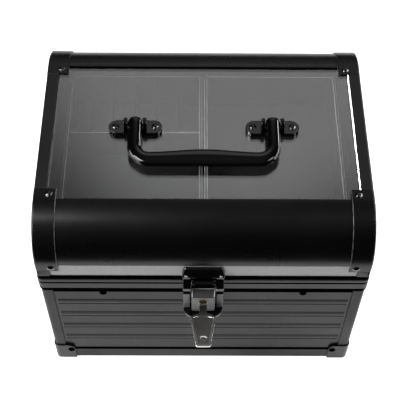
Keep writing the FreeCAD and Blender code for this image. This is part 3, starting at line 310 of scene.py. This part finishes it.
def clear_sheet(name, colour):
    """Polished clear sheet with faint wiping marks, which lets lamps through."""
    material, nodes, links, shader, place = new_material(name)
    wiping = noise(nodes, links, place, WIPING_SCALE, 6, (1, 4, 1))
    links.new(spread(nodes, links, wiping, POLISH_LEAST, POLISH_MOST), shader.inputs["Roughness"])
    tint = blend(nodes, links, spread(nodes, links, wiping, 0, 1), shade(colour, WIPED_TONE), colour)
    links.new(tint, shader.inputs["Base Color"])
    shader.inputs["Transmission Weight"].default_value = 1.0
    shader.inputs["IOR"].default_value = ACRYLIC_IOR
    shader.inputs["Coat Weight"].default_value = 1.0
    shader.inputs["Coat Roughness"].default_value = POLISH_LEAST
    shader.inputs["Coat IOR"].default_value = SHEEN_IOR
    path = nodes.new("ShaderNodeLightPath")
    passing = nodes.new("ShaderNodeBsdfTransparent")
    passing.inputs["Color"].default_value = (*shade(colour, SHADOW_PASS), 1)
    mix = nodes.new("ShaderNodeMixShader")
    links.new(path.outputs["Is Shadow Ray"], mix.inputs["Fac"])
    links.new(shader.outputs["BSDF"], mix.inputs[1])
    links.new(passing.outputs["BSDF"], mix.inputs[2])
    links.new(mix.outputs["Shader"], nodes["Material Output"].inputs["Surface"])
    return material


FINISHES = {}


def mix_finishes():
    """Make the case's materials from the chosen colours."""
    hue = bpy.context.scene.case_finishes
    FINISHES.update(
        # Where the edge wear is large, as on the board, braces, latch, front faces, key and trays, the lightened
        # edges are painted highlight as well as wear.
        board=surface("beaded_laminate", hue.board, roughness=0.3, grain=1500, relief=0.00003, wear=1.5,
                      rubbed=grey(0.17), specular=0.24, ribs=480),
        # Light grey base standing in for the floor's reflection: painted reflection.
        strip=surface("gloss_strip", hue.strip, roughness=0.2, grain=1200, relief=0.00001, wear=0.1, coat=0.3),
        aluminium=surface("satin_black_aluminium", hue.aluminium, roughness=0.28, grain=700, relief=0.00002,
                          stretch=(0.04, 1, 1), wear=0.3, specular=0.42, smudge=0.025),
        matte=surface("matte_black_edging", hue.matte, roughness=0.42, grain=900, relief=0.00004, wear=0.12,
                      specular=0.25),
        # Black with no gloss, for gaps and for painted shade.
        gap=surface("black_gap", hue.gap, roughness=0.8, grain=900, relief=0.00004, specular=0.0),
        rim=surface("satin_rim_aluminium", hue.rim, roughness=0.34, grain=800, relief=0.00002,
                    stretch=(0.05, 0.05, 1), wear=0.2, specular=0.31),
        # Enamel whose lightened edges are wear and painted highlight, for the braces' inner edge.
        brace=surface("brace_enamel", hue.enamel, roughness=0.26, grain=1100, relief=0.00003, wear=1.3,
                      rubbed=grey(0.1)),
        enamel=surface("black_enamel", hue.enamel, roughness=0.26, grain=1100, relief=0.00003, wear=0.08,
                       specular=0.3),
        gloss=surface("gloss_moulding", hue.gloss, roughness=0.07, grain=500, relief=0.000003, wear=0.04,
                      smudge=0.02),
        rivet=surface("polished_rivet", hue.gloss, roughness=0.09, grain=900, relief=0.000003, coat=1.0,
                      smudge=0.02),
        latch=surface("plated_latch", hue.latch, roughness=0.12, grain=900, relief=0.000006, wear=0.6,
                      rubbed=grey(0.25), coat=0.2, smudge=0.03),
        # Forward faces painted light grey as reflection of the floor.
        zinc=surface("bare_latch_face", hue.zinc, roughness=0.46, grain=1200, relief=0.00002, wear=0.9,
                     rubbed=grey(0.55), smudge=0.08),
        # The hasp's slope painted lighter: painted light.
        satin=surface("satin_latch_slope", hue.satin, roughness=0.46, grain=1200, relief=0.00002, wear=0.3),
        # Bright strips along the slope's edges: painted highlight.
        latch_edge=surface("bare_latch_edge", shade(hue.zinc, 3), roughness=0.3, grain=1200, relief=0.00002),
        nickel=surface("nickel_key", hue.nickel, roughness=0.2, grain=1400, relief=0.00002, metallic=1.0,
                       wear=0.9, rubbed=(0.9, 0.89, 0.86)),
        # The key's sunk field is a darker copy of the nickel: painted shade.
        key_field=surface("sunk_key_field", shade(hue.nickel, 0.34), roughness=0.34, grain=1600,
                          relief=0.0001, metallic=1.0),
        brass=surface("brass_lock", hue.brass, roughness=0.17, grain=1400, relief=0.00002, metallic=1.0),
        steel=surface("pin_steel", grey(0.3), roughness=0.3, grain=1200, relief=0.00002, metallic=1.0),
        tray=surface("moulded_tray", hue.tray, roughness=0.45, grain=1300, relief=0.000004, wear=1.6,
                     rubbed=grey(0.5)),
        # Slot floors in a lighter copy of the tray: painted light.
        well=surface("tray_well", shade(hue.tray, 8), roughness=0.45, grain=1300, relief=0.000004),
        window=clear_sheet("clear_acrylic", hue.window),
    )


# Pieces that stand for CAD nodes

def merged_copy(node):
    """Mesh of a node with its seams joined and its flat faces whole."""
    bm = bmesh.new()
    bm.from_mesh(NODES[node].data)
    bmesh.ops.remove_doubles(bm, verts=bm.verts, dist=MERGE)
    bmesh.ops.dissolve_limit(bm, angle_limit=FLAT, verts=bm.verts, edges=bm.edges)
    return bm


def dressed(bm, name, node, finish, zones=()):
    """Piece that rides with a node; faces that pass a zone's test take the zone's finish."""
    mesh = bpy.data.meshes.new(name)
    mesh.materials.append(FINISHES[finish])
    for index, (other, test) in enumerate(zones, 1):
        mesh.materials.append(FINISHES[other])
        for face in bm.faces:
            if test(face):
                face.material_index = index
    bm.to_mesh(mesh)
    bm.free()
    mesh.shade_smooth()
    mesh.set_sharp_from_angle(angle=SMOOTH)
    piece = bpy.data.objects.new(name, mesh)
    bpy.context.scene.collection.objects.link(piece)
    piece.modifiers.new("flat_faces", "WEIGHTED_NORMAL").keep_sharp = True
    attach(piece, BODY_OF[node])
    return piece


def show(bm, node, finish, zones=()):
    """Turn a mesh into the piece that stands for a node."""
    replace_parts(dressed(bm, node + "_shown", node, finish, zones), node)


def round_edges(bm, edges, width, segments):
    """Bevel edges to a round of some width, and give the new faces."""
    return bmesh.ops.bevel(bm, geom=edges, offset=width, offset_type="OFFSET", affect="EDGES",
                           segments=segments, profile=0.5, clamp_overlap=True, material=-1)["faces"]


def ease(bm, width, segments=2, groove=None):
    """Round the sharp edges: outer ones are marked for wear and painted highlight, inner ones for painted shade,
    at a groove's own width.
    """
    worn = bm.faces.layers.float.new(EDGE_MARK)
    for outer, mark, size, least in ((True, WORN, width, CREASE), (False, GRIMY, *(groove or (width, CREASE)))):
        sharp = [edge for edge in bm.edges if len(edge.link_faces) == 2 and edge.is_convex == outer
                 and edge.calc_face_angle() > least and not any(face[worn] for face in edge.link_faces)]
        for face in round_edges(bm, sharp, size, segments):
            face[worn] = mark


def eased(node, width, finish, segments=2, zones=()):
    """Show a node with its sharp edges rounded."""
    bm = merged_copy(node)
    ease(bm, width, segments)
    show(bm, node, finish, zones)


def whole(bm):
    return bm.verts[:] + bm.edges[:] + bm.faces[:]


def verts_edges(made):
    """Vertices and edges among what an operator made."""
    return ([part for part in made if isinstance(part, bmesh.types.BMVert)],
            [part for part in made if isinstance(part, bmesh.types.BMEdge)])


def block(bm, low, high):
    """Box between two corners."""
    low, high = Vector(low), Vector(high)
    size = Matrix.Diagonal((*(high - low), 1))
    return bmesh.ops.create_cube(bm, size=1, matrix=Matrix.Translation((low + high) / 2) @ size)["verts"]


def faces_in(face):
    """Whether a face of the case's wall looks inwards."""
    centre = face.calc_center_median()
    return face.normal.xy.dot(centre.xy.normalized()) < -LEANING


def faces_front(face):
    return face.normal.y < -SQUARE


def cut(bm, place, normal):
    """Cut a mesh's faces along a plane."""
    bmesh.ops.bisect_plane(bm, geom=whole(bm), dist=MERGE, plane_co=place, plane_no=normal)


def cut_level(bm, *heights):
    """Cut a mesh's faces at level heights."""
    for height in heights:
        cut(bm, (0, 0, height), (0, 0, 1))


def beaded_board(node, width):
    """Show a base board with its beads set down and a painted shade line along each of their edges."""
    bm = merged_copy(node)
    low, high = (Vector(corner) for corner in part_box(node))
    across = 0 if high.x - low.x < high.y - low.y else 1
    outward = math.copysign(1, (low + high)[across])
    outer = high[across] if outward > 0 else -low[across]
    beads = [vert for vert in bm.verts if outer - vert.co[across] * outward < BEAD_RISE + MERGE
             and low.z + BEAD_MARGIN < vert.co.z < high.z - BEAD_MARGIN]
    lowest = min(vert.co.z for vert in beads) + BEAD_HEIGHT + MERGE
    for vert in beads:
        if vert.co.z < lowest:
            vert.co[across] = (outer - BEAD_RISE) * outward
    bmesh.ops.translate(bm, vec=(0, 0, -BEAD_DROP), verts=[vert for vert in beads if vert.co.z > lowest])
    bmesh.ops.remove_doubles(bm, verts=bm.verts, dist=MERGE)
    bmesh.ops.dissolve_degenerate(bm, dist=MERGE, edges=bm.edges)
    bmesh.ops.dissolve_limit(bm, angle_limit=FLAT, verts=bm.verts, edges=bm.edges)
    ease(bm, width, groove=(LINE_WIDTH, LINE_ANGLE))
    worn = bm.faces.layers.float[EDGE_MARK]
    # Undersides of the beads get the negative edge mark, for painted shade.
    for face in bm.faces:
        if face.normal.z < -UNDERSIDE and abs(face.normal[across]) > OUTER_FACE:
            face[worn] = GRIMY
    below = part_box("bottom_angles")[1][2] + SHADE_BELOW
    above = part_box("base_rim_front")[0][2] - SHADE_ABOVE
    cut_level(bm, below, above)

    # Inner faces and the margins by the bottom angles and the rim are painted black as shade.
    def unlit(face):
        return faces_in(face) or not below < face.calc_center_median().z < above
    show(bm, node, "board", [("gap", unlit)])


def rivet_seats(node):
    """Centre and direction of each head in a node of rivets."""
    bm = merged_copy(node)
    waiting = set(bm.faces)
    seats = []
    while waiting:
        head, front = set(), [waiting.pop()]
        while front:
            face = front.pop()
            head.add(face)
            near = {other for edge in face.edges for other in edge.link_faces} & waiting
            waiting -= near
            front.extend(near)
        foot = max(head, key=lambda face: face.calc_area())
        seats.append((foot.calc_center_median(), -foot.normal))
    bm.free()
    return seats


def domed_rivets(node, finish):
    """Show a node of rivets as turned domes with a thin flange."""
    bm = bmesh.new()
    for centre, up in rivet_seats(node):
        turn = Vector((0, 0, 1)).rotation_difference(up).to_matrix().to_4x4()
        seat = Matrix.Translation(centre) @ turn
        verts = [bm.verts.new(seat @ Vector((radius / 1000, 0, rise / 1000))) for radius, rise in RIVET_PROFILE]
        edges = [bm.edges.new(pair) for pair in zip(verts, verts[1:])]
        bmesh.ops.spin(bm, geom=verts + edges, cent=centre, axis=up, angle=2 * math.pi, steps=RIVET_STEPS,
                       use_merge=True)
    bmesh.ops.remove_doubles(bm, verts=bm.verts, dist=MERGE)
    bmesh.ops.recalc_face_normals(bm, faces=bm.faces)
    show(bm, node, finish)


def swell_grip(bm, turn_x, turn_y, front_y):
    """Thicken the bends towards the grip, and swell the grip towards its middle."""
    for vert in bm.verts:
        out = Vector((vert.co.x - turn_x, vert.co.y - turn_y))
        if vert.co.x > turn_x or vert.co.y < turn_y:
            share = 1 if vert.co.x > turn_x else math.atan2(-out.y, -out.x) / (math.pi / 2)
            slim = 1 + share * (GRIP / LEG - 1)
            radius = out.length if vert.co.x <= turn_x else -out.y
            moved = BEND + (radius - BEND) * slim
            if vert.co.x > turn_x:
                vert.co.y = turn_y - moved
            else:
                vert.co.xy = Vector((turn_x, turn_y)) + out * (moved / radius)
        if vert.co.x > turn_x:
            share = vert.co.x / turn_x
            rise = SWELL * (1 - share * share * (3 - 2 * share))
            vert.co.y += rise * (vert.co.y - front_y) / (2 * GRIP)


def moulded_handle():
    """Show the handle as a rounded bar with bent ends and a fuller grip."""
    low, high = (Vector(corner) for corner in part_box("handle"))
    height, half_thick = (low.z + high.z) / 2, (high.z - low.z) / 2
    front_y = low.y + BAR_BACK
    leg_x, grip_y = low.x + LEG, front_y + GRIP
    turn_x, turn_y = leg_x + BEND, grip_y + BEND
    bm = bmesh.new()
    ring = bmesh.ops.create_circle(bm, cap_ends=True, segments=BAR_SIDES, radius=1)["verts"]
    for vert in ring:
        across, up = (math.copysign(abs(part) ** BAR_ROUNDNESS, part) for part in vert.co.xy)
        vert.co = (leg_x + across * LEG, high.y, height + up * half_thick)
    about = Matrix.Translation((-leg_x, -high.y, -height))
    bmesh.ops.scale(bm, vec=(TIP_SIZE, 1, TIP_SIZE), space=about, verts=ring)
    front = list({edge for vert in ring for edge in vert.link_edges})
    for size, back in (*TIP_RINGS, (1.0, high.y - turn_y)):
        verts, front = verts_edges(bmesh.ops.extrude_edge_only(bm, edges=front)["geom"])
        for vert in verts:
            vert.co.y = high.y - back
        reach = max(abs(vert.co.x - leg_x) for vert in verts) / LEG
        bmesh.ops.scale(bm, vec=(size / reach, 1, size / reach), space=about, verts=verts)
    verts, front = verts_edges(bmesh.ops.spin(bm, geom=verts + front, cent=(turn_x, turn_y, height),
                                              axis=(0, 0, 1), angle=math.pi / 2, steps=BEND_STEPS)["geom_last"])
    for _ in range(GRIP_STEPS):
        verts, front = verts_edges(bmesh.ops.extrude_edge_only(bm, edges=front)["geom"])
        bmesh.ops.translate(bm, vec=(-turn_x / GRIP_STEPS, 0, 0), verts=verts)
    swell_grip(bm, turn_x, turn_y, front_y)
    for vert in bm.verts:
        share = (high.y - vert.co.y) / (high.y - low.y)
        vert.co.z = height - BAR_DROOP * share + (vert.co.z - height) * (1 - BAR_THINNING * share)
    bmesh.ops.mirror(bm, geom=whole(bm), matrix=Matrix(), merge_dist=HALVES_MERGE, axis="X")
    bmesh.ops.remove_doubles(bm, verts=bm.verts, dist=MERGE)
    bmesh.ops.recalc_face_normals(bm, faces=bm.faces)
    show(bm, "handle", "gloss")


def lid_plate():
    """Show the latch's lid plate as a rounded wedge with two lugs that swell towards their lower ends."""
    low, high = (Vector(corner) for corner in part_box("latch_lid_plate"))
    foot, front = low.z + PLATE_FOOT, low.y + PLATE_FRONT
    bm = bmesh.new()
    for vert in block(bm, (low.x, front, foot), (high.x, high.y, high.z - PLATE_HEAD)):
        if vert.co.z > foot:
            vert.co.x *= PLATE_TAPER
            if vert.co.y < high.y:
                vert.co.y = high.y - PLATE_LIP
    outer = [edge for edge in bm.edges if any(vert.co.y < high.y for vert in edge.verts)]
    round_edges(bm, outer, PLATE_ROUND, 5)
    # Depth and height of a lug's corners, from the top of its rear round by the front to its lower end
    lug_corners = ((high.y - 0.001, foot + 0.002), (front + 0.0022, foot + 0.002), (front + 0.002, foot - 0.004),
                   (low.y, foot - 0.0115), (low.y, foot - 0.0165), (low.y + 0.004, low.z),
                   (high.y - 0.003, low.z))
    for start, end in ((LUG_INNER, high.x - LUG_INSET), (low.x + LUG_INSET, -LUG_INNER)):
        corners = [bm.verts.new((start, y, z)) for y, z in lug_corners]
        made = bmesh.ops.extrude_face_region(bm, geom=[bm.faces.new(corners)])["geom"]
        moved = verts_edges(made)[0]
        bmesh.ops.translate(bm, vec=(end - start, 0, 0), verts=moved)
        lug = {edge for vert in corners + moved for edge in vert.link_edges}
        round_edges(bm, list(lug), LUG_ROUND, 4)
    for x in (-STUD_PLACE, STUD_PLACE):
        spot = Matrix.Translation((x, front + STUD_SINK, foot + STUD_RISE)) @ Matrix.Diagonal((*STUD_SIZE, 1))
        bmesh.ops.create_uvsphere(bm, u_segments=16, v_segments=10, radius=1, matrix=spot)
    bmesh.ops.recalc_face_normals(bm, faces=bm.faces)

    def stud(face):
        centre = face.calc_center_median()
        off = centre - Vector((centre.x, front, foot + STUD_RISE))
        beside = abs(abs(centre.x) - STUD_PLACE)
        return beside < STUD_REACH and off.length < STUD_REACH and len(face.verts) < 5
    show(bm, "latch_lid_plate", "latch", [("steel", stud)])


def by_corner(name):
    return [f"{name}_{end}_{side}" for end in ("front", "rear") for side in ("left", "right")]


class TRAINCASE_OT_boards(bpy.types.Operator):
    """Beaded base boards and the smooth boards of the lid"""
    bl_idname = "traincase.boards"
    bl_label = "Boards"

    def execute(self, context):
        width = context.scene.case_edges.board
        for side in SIDES:
            beaded_board(f"base_{side}_panel", width)
        # The base floor takes the same unreflecting black as the gaps and painted shade.
        eased("base_floor_panel", width, "gap")
        # Inward faces of the lid panels are painted black as shade.
        for side in ("left", "right"):
            eased(f"lid_{side}_panel", width, "board", zones=[("gap", faces_in)])
        for side in ("front", "rear"):
            eased(f"lid_{side}_panel", width, "strip", zones=[("gap", faces_in)])
        return {"FINISHED"}


class TRAINCASE_OT_edging(bpy.types.Operator):
    """Rounded lid edges, corner posts, edge angles and rims"""
    bl_idname = "traincase.edging"
    bl_label = "Edging"

    def execute(self, context):
        width = context.scene.case_edges.metal
        for node in ("lid_front_bullnose", "lid_rear_bullnose"):
            eased(node, width, "aluminium")
        for node in ["lid_top_edge_left", "lid_top_edge_right"] + by_corner("corner_post"):
            eased(node, width, "matte")
        # Upward faces of the bottom angles are painted black as shade.
        eased("bottom_angles", width, "matte", zones=[("gap", lambda face: face.normal.z > UPWARD)])
        low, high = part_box("base_rim_front")
        shadow, joint = low[2] + RIM_SHADE, [high[2] + rise for rise in RIM_JOINT]
        for rim in ("base_rim", "lid_rim"):
            reach_x, reach_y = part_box(rim + "_right")[1][0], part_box(rim + "_rear")[1][1]

            # Set-back faces, the foot and the joint at the split are painted black: painted shade, with a real
            # gap at the split.
            def dark(face):
                centre = face.calc_center_median()
                set_back = max(abs(centre.x) - reach_x, abs(centre.y) - reach_y)
                return set_back < -RIM_STEP or centre.z < shadow or joint[0] < centre.z < joint[1]
            for side in SIDES:
                bm = merged_copy(f"{rim}_{side}")
                ease(bm, width * 2)
                cut_level(bm, shadow, *joint)
                show(bm, f"{rim}_{side}", "rim", [("gap", dark)])
        return {"FINISHED"}


class TRAINCASE_OT_window(bpy.types.Operator):
    """Clear top panel with the lip and the clear beads along its edges"""
    bl_idname = "traincase.window"
    bl_label = "Window"

    def execute(self, context):
        width = context.scene.case_edges.metal
        eased("lid_top_panel", width, "window")
        top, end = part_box("lid_top_panel")[1][2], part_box("lid_top_panel")[1][1]
        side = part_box("lid_corner_front_right")[0][0] - LIP_END
        bm = bmesh.new()
        block(bm, (-side, end - LIP_FRONT, top - SEAT), (side, end + LIP_BACK, top + LIP_RISE))
        ease(bm, width)
        # The lip's forward faces are painted black as shade.
        dressed(bm, "window_lip", "lid_rear_bullnose", "aluminium",
                [("gap", lambda face: face.normal.y < -LEANING)])
        edge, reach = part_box("lid_top_edge_right")[0][0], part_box("lid_top_edge_right")[1][1]
        bm = bmesh.new()
        for vert in block(bm, (edge - CLEAR_INNER, -reach, top - SEAT),
                          (edge - CLEAR_OUTER, reach, top + CLEAR_RISE)):
            if vert.co.z > top and vert.co.x > edge - CLEAR_SLOPE_START:
                vert.co.z -= CLEAR_SLOPE
        bmesh.ops.mirror(bm, geom=whole(bm), matrix=Matrix(), merge_dist=MERGE, axis="X")
        bmesh.ops.recalc_face_normals(bm, faces=bm.faces)
        dressed(bm, "window_beads", "lid_top_panel", "window")
        return {"FINISHED"}


class TRAINCASE_OT_corners(bpy.types.Operator):
    """Corner caps, curved braces, rivets and hinges"""
    bl_idname = "traincase.corners"
    bl_label = "Corner hardware"

    def execute(self, context):
        width = context.scene.case_edges.metal
        brace_round = width * BRACE_ROUND
        inner = -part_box("lid_corner_front_left")[1][0] + brace_round
        start = -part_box("lid_top_edge_left")[1][1] - width * BRACE_START

        # The inner edge of each brace is lightened as wear and painted highlight.
        def inner_edge(face):
            centre = face.calc_center_median()
            return abs(centre.x) < inner and centre.y < start
        for node in by_corner("lid_corner"):
            eased(node, brace_round, "enamel", segments=4, zones=[("brace", inner_edge)])
        for node in by_corner("bottom_corner"):
            eased(node, width, "enamel")
        for node in ("hinge_base_leaves", "hinge_lid_leaves"):
            eased(node, width, "enamel")
        eased("hinge_pins", width, "steel")
        # The base rivets take the unreflecting black, painted shade in place of their reflection.
        domed_rivets("base_rivets", "gap")
        domed_rivets("lid_rivets", "rivet")
        return {"FINISHED"}


class TRAINCASE_OT_handle(bpy.types.Operator):
    """Moulded handle with its brackets and pins"""
    bl_idname = "traincase.handle"
    bl_label = "Handle"

    def execute(self, context):
        edges = context.scene.case_edges
        moulded_handle()
        for node in ("handle_bracket_left", "handle_bracket_right"):
            eased(node, edges.hardware, "gloss", segments=3)
        eased("handle_pins", edges.hardware, "gloss")
        return {"FINISHED"}


def latch_hasp(width):
    """Show the hasp with a narrower barrel, painted light on its slope, a painted highlight about the slope and
    a painted shade line at the fold.
    """
    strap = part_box("latch_lid_plate")[0][2] + STRAP_RISE
    front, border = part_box("hasp")[0][1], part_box("hasp")[1][0] - SLOPE_BORDER
    bm = merged_copy("hasp")
    barrel = [vert for vert in bm.verts if vert.co.z > strap + BARREL_RISE]
    bmesh.ops.scale(bm, vec=(BARREL_SHARE, 1, 1), verts=barrel)
    fold = max(vert.co.z for vert in bm.verts if vert.co.y < front + MERGE)
    ease(bm, width, 3)
    for side in (-border, border):
        cut(bm, (side, 0, 0), (1, 0, 0))
    cut_level(bm, fold - FOLD_LINE, strap - SLOPE_TOP_BORDER)

    def slope(face):
        return SLOPE_LEAST < face.normal.z < SLOPE_MOST and face.calc_center_median().z < strap

    def slope_border(face):
        centre = face.calc_center_median()
        return slope(face) and (abs(centre.x) > border or centre.z > strap - SLOPE_TOP_BORDER)

    def fold_line(face):
        return faces_front(face) and abs(face.calc_center_median().z - fold) < FOLD_LINE

    def barrel_front(face):
        return strap < face.calc_center_median().z < strap + BARREL_FRONT
    # Forward faces take painted reflection, the slope painted light, its edges painted highlight; fold line and
    # barrel front are painted black as shade.
    show(bm, "hasp", "latch", [("zinc", faces_front), ("satin", slope), ("latch_edge", slope_border),
                               ("gap", fold_line), ("gap", barrel_front)])


class TRAINCASE_OT_latch(bpy.types.Operator):
    """Lid plate, hasp, lock, keeper and key"""
    bl_idname = "traincase.latch"
    bl_label = "Latch"

    def execute(self, context):
        width = context.scene.case_edges.hardware
        lid_plate()
        latch_hasp(width)
        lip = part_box("latch_keeper")[0][2] + KEEPER_LIP

        # Forward faces above the keeper's lip take the painted reflection.
        def keeper_front(face):
            return faces_front(face) and face.calc_center_median().z > lip
        eased("latch_keeper", width, "latch", segments=3, zones=[("zinc", keeper_front)])
        eased("hasp_pin", width, "latch")
        eased("lock_cylinder", width / 2, "brass")
        low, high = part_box("key")
        middle, bow = (low[2] + high[2]) / 2, low[1] + KEY_BOW

        # The sunk field of the key is painted darker as shade.
        def key_field(face):
            centre = face.calc_center_median()
            return abs(face.normal.z) > SQUARE and centre.y < bow and abs(centre.z - middle) < KEY_WEB
        eased("key", width * KEY_EASE, "nickel", segments=3, zones=[("key_field", key_field)])
        return {"FINISHED"}


class TRAINCASE_OT_trays(bpy.types.Operator):
    """Moulded trays with their arms and brackets"""
    bl_idname = "traincase.trays"
    bl_label = "Trays"

    def execute(self, context):
        edges = context.scene.case_edges
        low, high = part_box("left_tray")

        # Faces in the lipstick slots are painted black as shade; the slot floors get painted light.
        def slots(face):
            centre = face.calc_center_median()
            return centre.z < high[2] - DIVIDER_DROP and centre.y > SLOTS_START

        def slot_floors(face):
            return slots(face) and face.normal.z > SQUARE and face.calc_center_median().z < low[2] + TRAY_FLOOR
        for side in ("left", "right"):
            eased(f"{side}_tray", edges.tray, "tray", zones=[("gap", slots), ("well", slot_floors)])
            for arm in ("upper", "lower"):
                eased(f"{side}_{arm}_arms", edges.metal, "enamel")
        eased("tray_brackets", edges.metal, "enamel")
        return {"FINISHED"}


# Stage

def is_seen(nodes, links, levels):
    """Level of the ray that meets the floor: from the camera, through clear sheet or off gloss."""
    path = nodes.new("ShaderNodeLightPath")
    total = None
    for ray, level in levels.items():
        share = spread(nodes, links, path.outputs[ray], 0, level, 0, 1)
        if total:
            larger = nodes.new("ShaderNodeMath")
            larger.operation = "MAXIMUM"
            links.new(total, larger.inputs[0])
            links.new(share, larger.inputs[1])
            share = larger.outputs[0]
        total = share
    return total


def pale_floor(tone):
    """Floor that takes shadow and shows white."""
    material, nodes, links, shader, place = new_material("pale_floor")
    mottle = spread(nodes, links, noise(nodes, links, place, MOTTLE_SCALE, 3), 0, 1)
    links.new(blend(nodes, links, mottle, grey(tone * MOTTLE_TONE), grey(tone)), shader.inputs["Base Color"])
    shader.inputs["Roughness"].default_value = FLOOR_ROUGHNESS
    shader.inputs["Emission Color"].default_value = (1, 1, 1, 1)
    links.new(is_seen(nodes, links, FLOOR_LEVELS), shader.inputs["Emission Strength"])
    bm = bmesh.new()
    grid = bmesh.ops.create_grid(bm, x_segments=1, y_segments=1, size=FLOOR_REACH)
    bmesh.ops.translate(bm, vec=(0, FLOOR_REACH - FLOOR_FRONT, 0), verts=grid["verts"])
    mesh = bpy.data.meshes.new("floor")
    bm.to_mesh(mesh)
    bm.free()
    mesh.materials.append(material)
    floor = bpy.data.objects.new("floor", mesh)
    bpy.context.scene.collection.objects.link(floor)


def soft_lamp(name, place, target, size, power):
    """Soft rectangle of light that faces a point."""
    lamp = bpy.data.lights.new(name, "AREA")
    lamp.shape = "RECTANGLE"
    lamp.size, lamp.size_y = size
    lamp.energy = power
    holder = bpy.data.objects.new(name, lamp)
    holder.location = place
    holder.rotation_euler = (Vector(target) - Vector(place)).to_track_quat("-Z", "Y").to_euler()
    bpy.context.scene.collection.objects.link(holder)


def glow(nodes, links, direction, centre, near, far, level):
    """Round patch of light in the surroundings, from full at the near angle to none at the far one."""
    along = nodes.new("ShaderNodeVectorMath")
    along.operation = "DOT_PRODUCT"
    links.new(direction, along.inputs[0])
    along.inputs[1].default_value = Vector(centre).normalized()
    patch = spread(nodes, links, along.outputs["Value"], 0, level, math.cos(math.radians(far)),
                   math.cos(math.radians(near)))
    patch.node.interpolation_type = "SMOOTHSTEP"
    return patch


def surroundings(look):
    """Dim studio with soft patches of light, which the camera sees as white."""
    world = bpy.data.worlds.new("studio")
    world.use_nodes = True
    nodes, links = world.node_tree.nodes, world.node_tree.links
    direction = nodes.new("ShaderNodeTexCoord").outputs["Generated"]
    total = glow(nodes, links, direction, *REAR_GLOW, look.rear_glow)
    for patch in (glow(nodes, links, direction, *REAR_HAZE, look.rear_haze),
                  glow(nodes, links, direction, *HIGH_GLOW, look.top_glow * HIGH_SHARE),
                  glow(nodes, links, direction, *TOP_GLOW, look.top_glow),
                  nodes.new("ShaderNodeLightPath").outputs["Is Camera Ray"]):
        more = nodes.new("ShaderNodeMath")
        links.new(total, more.inputs[0])
        links.new(patch, more.inputs[1])
        total = more.outputs[0]
    lifted = nodes.new("ShaderNodeMath")
    lifted.inputs[1].default_value = look.fill
    links.new(total, lifted.inputs[0])
    links.new(lifted.outputs[0], nodes["Background"].inputs["Strength"])
    nodes["Background"].inputs["Color"].default_value = (1, 1, 1, 1)
    return world


class TRAINCASE_OT_stage(bpy.types.Operator):
    """Pale floor, soft light and the camera"""
    bl_idname = "traincase.stage"
    bl_label = "Stage"

    def execute(self, context):
        scene = context.scene
        look = scene.case_stage
        pale_floor(look.floor)
        scene.world = surroundings(look)
        soft_lamp("overhead", *OVERHEAD, look.overhead)
        soft_lamp("overhead_right", *OVERHEAD_RIGHT, look.right_lamp)
        soft_lamp("right_strip", *RIGHT_STRIP, look.strip)
        soft_lamp("left_strip", *LEFT_STRIP, look.strip)
        camera = bpy.data.cameras.new("camera")
        camera.sensor_width = SENSOR_WIDTH
        camera.lens = SENSOR_WIDTH * FOCAL_SHARE
        camera.shift_x = CAMERA_SHIFT
        holder = bpy.data.objects.new("camera", camera)
        holder.location = CAMERA_PLACE
        tilt, yaw, roll = (math.radians(angle) for angle in (90 - CAMERA_PITCH, CAMERA_YAW, CAMERA_ROLL))
        turn = Matrix.Rotation(yaw, 3, "Z") @ Matrix.Rotation(tilt, 3, "X") @ Matrix.Rotation(roll, 3, "Z")
        holder.rotation_euler = turn.to_euler()
        scene.collection.objects.link(holder)
        scene.camera = holder
        scene.view_settings.view_transform = "Standard"
        return {"FINISHED"}


SETTINGS = {"case_finishes": CaseFinishes, "case_edges": CaseEdges, "case_stage": CaseStage}
STEPS = (TRAINCASE_OT_boards, TRAINCASE_OT_edging, TRAINCASE_OT_window, TRAINCASE_OT_corners,
         TRAINCASE_OT_handle, TRAINCASE_OT_latch, TRAINCASE_OT_trays, TRAINCASE_OT_stage)


class VIEW3D_PT_train_case(bpy.types.Panel):
    """Sidebar list of the case's groups and settings"""
    bl_label = "Train case"
    bl_space_type = "VIEW_3D"
    bl_region_type = "UI"
    bl_category = "Train case"

    def draw(self, context):
        for settings in SETTINGS:
            group = getattr(context.scene, settings)
            box = self.layout.box()
            for prop in group.bl_rna.properties:
                if prop.identifier not in ("rna_type", "name"):
                    box.prop(group, prop.identifier)
        for step in STEPS:
            self.layout.operator(step.bl_idname)


def register():
    for group in SETTINGS.values():
        bpy.utils.register_class(group)
    for step in STEPS:
        bpy.utils.register_class(step)
    bpy.utils.register_class(VIEW3D_PT_train_case)
    for name, group in SETTINGS.items():
        setattr(bpy.types.Scene, name, PointerProperty(type=group))


def unregister():
    for name in SETTINGS:
        delattr(bpy.types.Scene, name)
    bpy.utils.unregister_class(VIEW3D_PT_train_case)
    for step in reversed(STEPS):
        bpy.utils.unregister_class(step)
    for group in reversed(list(SETTINGS.values())):
        bpy.utils.unregister_class(group)


def main():
    register()
    mix_finishes()
    bpy.ops.traincase.boards()
    bpy.ops.traincase.edging()
    bpy.ops.traincase.window()
    bpy.ops.traincase.corners()
    bpy.ops.traincase.handle()
    bpy.ops.traincase.latch()
    bpy.ops.traincase.trays()
    bpy.ops.traincase.stage()


if __name__ == "__main__":
    main()
